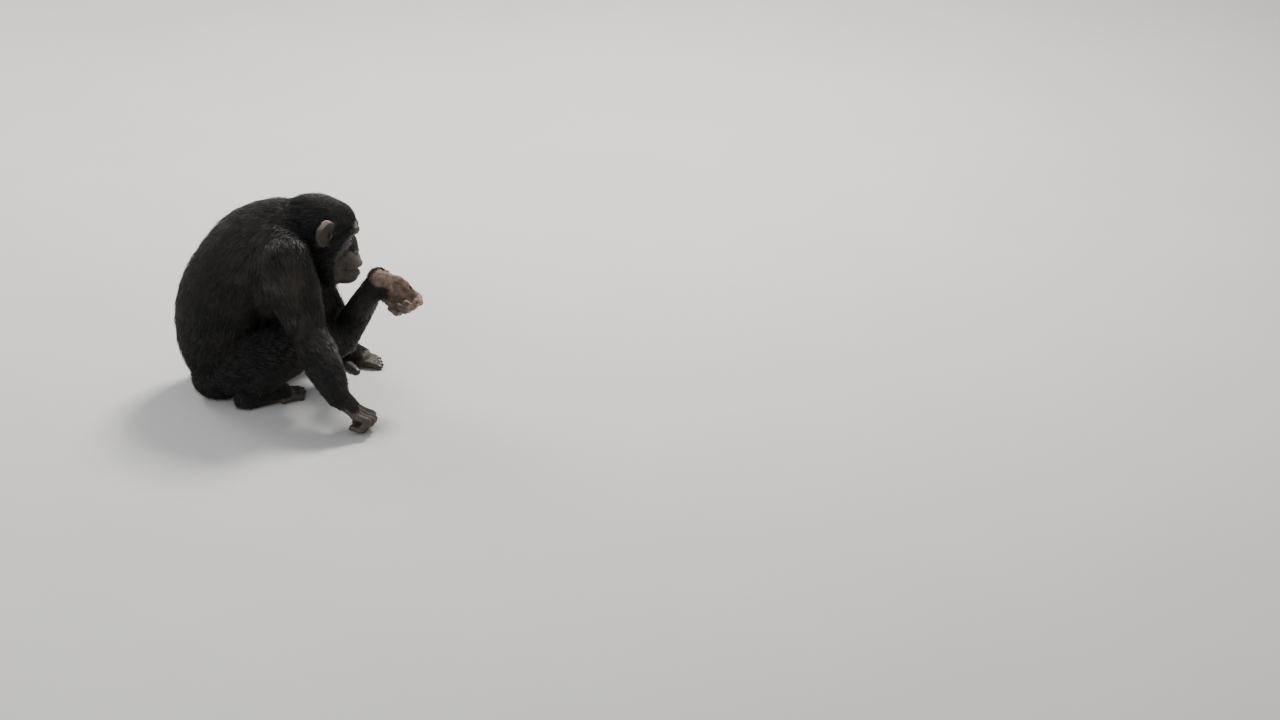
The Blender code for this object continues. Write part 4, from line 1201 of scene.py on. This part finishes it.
COAT_BLACK = ((0.0070, 0.0064, 0.0060), (0.020, 0.0178, 0.0160))
# Grey over the shoulders, upper back and upper arms: partly greying hair, partly painted sheen standing in
# for sunlit highlights
SHEEN_GREY_LEAST = 0.15
SHEEN_GREY_ARM = 0.085
SHEEN_GREY_YOKE = 0.110
COAT_SHEEN_GREY = ((0.030, 0.0255, 0.0210), (0.092, 0.079, 0.065))
shader = Shader("coat")
tone_share = shader.attribute("tone")
reach_share = shader.attribute("reach")
sheen_patches = shader.noise(11, 3).above(0.38, 0.66)
black = tone_share.mix(*COAT_BLACK)
grey = tone_share.mix(*COAT_SHEEN_GREY)
# Grey from greying hair and painted sheen, in patches and strongest towards the tips
worn = shader.attribute("worn") * sheen_patches * (reach_share * 0.7 + 0.3)
colour = worn.clear().mix(black, grey)
strands = shader.noise(1500, 2)
roughness = tone_share * 0.10 + strands * 0.10 + 0.33
looks = {"Base_Color": colour, "Roughness": roughness, "Specular_IOR_Level": 0.50}
coat_material = shader.finish(strands, 0.0003, 0.5, **looks)


def sheen_and_greying_share(points):
    """How much the coat is painted grey, partly greying hair and partly painted sunlit sheen: most over the
    shoulders, the upper back and the upper arms.
    """
    worn = np.full(len(points), SHEEN_GREY_LEAST)
    for side in (0, 1):
        lines = (SHOULDER[side], ELBOW[side], SHEEN_GREY_ARM), (BREAST[0], SHOULDER[side], SHEEN_GREY_YOKE)
        for start, end, half in lines:
            gap = np.linalg.norm(beside_line(points, start, end)[1], axis=1)
            worn = np.maximum(worn, 1 - smooth_step(half * 0.7, half * 1.4, gap))
    return worn


def grow(name, chosen):
    """One coat piece from the chosen tufts."""
    count = len(chosen)
    width = np.clip(length[chosen] * TUFT_WIDTH, *TUFT_WIDTHS) * (0.8 + 0.4 * tone[chosen])
    rows = np.empty((count, TUFT_POINTS, 3))
    for k, (centre, up, wide) in enumerate(((starts, normals, 0.8), (middles, middle_normal, 1.0))):
        side = unit(np.cross(up[chosen], (tips - starts)[chosen]))
        half = (width * wide / 2)[:, None]
        rows[:, k * RING] = centre[chosen] - side * half
        rows[:, k * RING + 1] = centre[chosen] + side * half
        rows[:, k * RING + 2] = centre[chosen] + up[chosen] * half * 0.9
    rows[:, 2 * RING] = tips[chosen]
    rows[:, :, 2] = np.maximum(rows[:, :, 2], FLOOR_CLEAR)
    mesh = bpy.data.meshes.new(name)
    mesh.vertices.add(count * TUFT_POINTS)
    mesh.vertices.foreach_set("co", rows.ravel())
    loops = (np.arange(count)[:, None] * TUFT_POINTS + face_corners).ravel()
    mesh.loops.add(len(loops))
    mesh.loops.foreach_set("vertex_index", loops.astype(np.int32))
    mesh.polygons.add(count * len(FACES))
    begins = (np.arange(count)[:, None] * len(face_corners) + face_starts).ravel()
    mesh.polygons.foreach_set("loop_start", begins.astype(np.int32))
    mesh.update(calc_edges=True)
    store(mesh, "tone", np.repeat(tone[chosen], TUFT_POINTS))
    store(mesh, "reach", np.tile([0, 0, 0, 0.5, 0.5, 0.5, 1.0], count))
    store(mesh, "worn", np.repeat(sheen_and_greying_share(starts[chosen]), TUFT_POINTS))
    places_on_map = root_map[chosen][:, None] + TUFT_MAP[face_corners]
    mesh.uv_layers.new(name="OFBake").data.foreach_set("uv", places_on_map.ravel())
    mesh.shade_smooth()
    piece = bpy.data.objects.new(name, mesh)
    bpy.context.scene.collection.objects.link(piece)
    piece.data.materials.append(coat_material)
    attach(piece, "root")


for k, name in enumerate(GROUPS):
    members = np.flatnonzero(group == k)
    members = members[np.argsort(roots[members, 2], kind="stable")]
    parts = -(-len(members) // MOST_TUFTS)
    for number, chosen in enumerate(np.array_split(members, max(parts, 1))):
        if len(chosen):
            grow(f"coat_{name}_{number + 1}", chosen)

# Studio
# A plain pale floor, soft lights from above, and the camera high on the animal's right.

FLOOR_HALF = 40.0
FLOOR_TONES = ((0.66, 0.65, 0.63), (0.72, 0.71, 0.69))
MIDDLE = (0.15, 0.0, 0.25)
SKY_COLOUR = (0.86, 0.88, 0.90, 1)
SKY_STRENGTH = 0.50
LENS_MM = 112.9
SENSOR_MM = 36.0
CAMERA_PLACE = (1.11, -9.9404, 4.7109)
CAMERA_TILT = 65
deselect_all()
bpy.ops.mesh.primitive_plane_add(size=FLOOR_HALF * 2, location=(0, 0, 0))
floor = bpy.context.object
floor.name = "floor"
shader = Shader("pale_floor")
grain = shader.noise(2.5, 3)
colour = grain.mix(*FLOOR_TONES)
floor.data.materials.append(shader.finish(grain, 0.001, 0.1, Base_Color=colour, Roughness=grain * 0.1 + 0.75))


def soft_light(name, place, aim, size, power, colour):
    """A square studio light that faces a point."""
    lamp = bpy.data.lights.new(name, "AREA")
    lamp.size = size
    lamp.energy = power
    lamp.color = colour
    made = bpy.data.objects.new(name, lamp)
    made.location = place
    made.rotation_euler = (Vector(place) - Vector(aim)).to_track_quat("Z", "Y").to_euler()
    bpy.context.scene.collection.objects.link(made)


soft_light("key", (1.6, 2.4, 3.6), MIDDLE, 1.2, 260, (1.0, 0.97, 0.92))
soft_light("fill", (-1.8, -3.6, 2.8), MIDDLE, 3.0, 60, (0.94, 0.97, 1.0))
soft_light("rim", (-2.4, 2.6, 2.6), MIDDLE, 1.6, 70, (1.0, 1.0, 1.0))
world = bpy.context.scene.world or bpy.data.worlds.new("studio")
bpy.context.scene.world = world
world.use_nodes = True
background = world.node_tree.nodes.get("Background") or world.node_tree.nodes.new("ShaderNodeBackground")
background.inputs["Color"].default_value = SKY_COLOUR
background.inputs["Strength"].default_value = SKY_STRENGTH

lens = bpy.data.cameras.new("camera")
lens.lens = LENS_MM
lens.sensor_width = SENSOR_MM
camera = bpy.data.objects.new("camera", lens)
camera.location = CAMERA_PLACE
camera.rotation_euler = (math.radians(CAMERA_TILT), 0, 0)
bpy.context.scene.collection.objects.link(camera)
bpy.context.scene.camera = camera
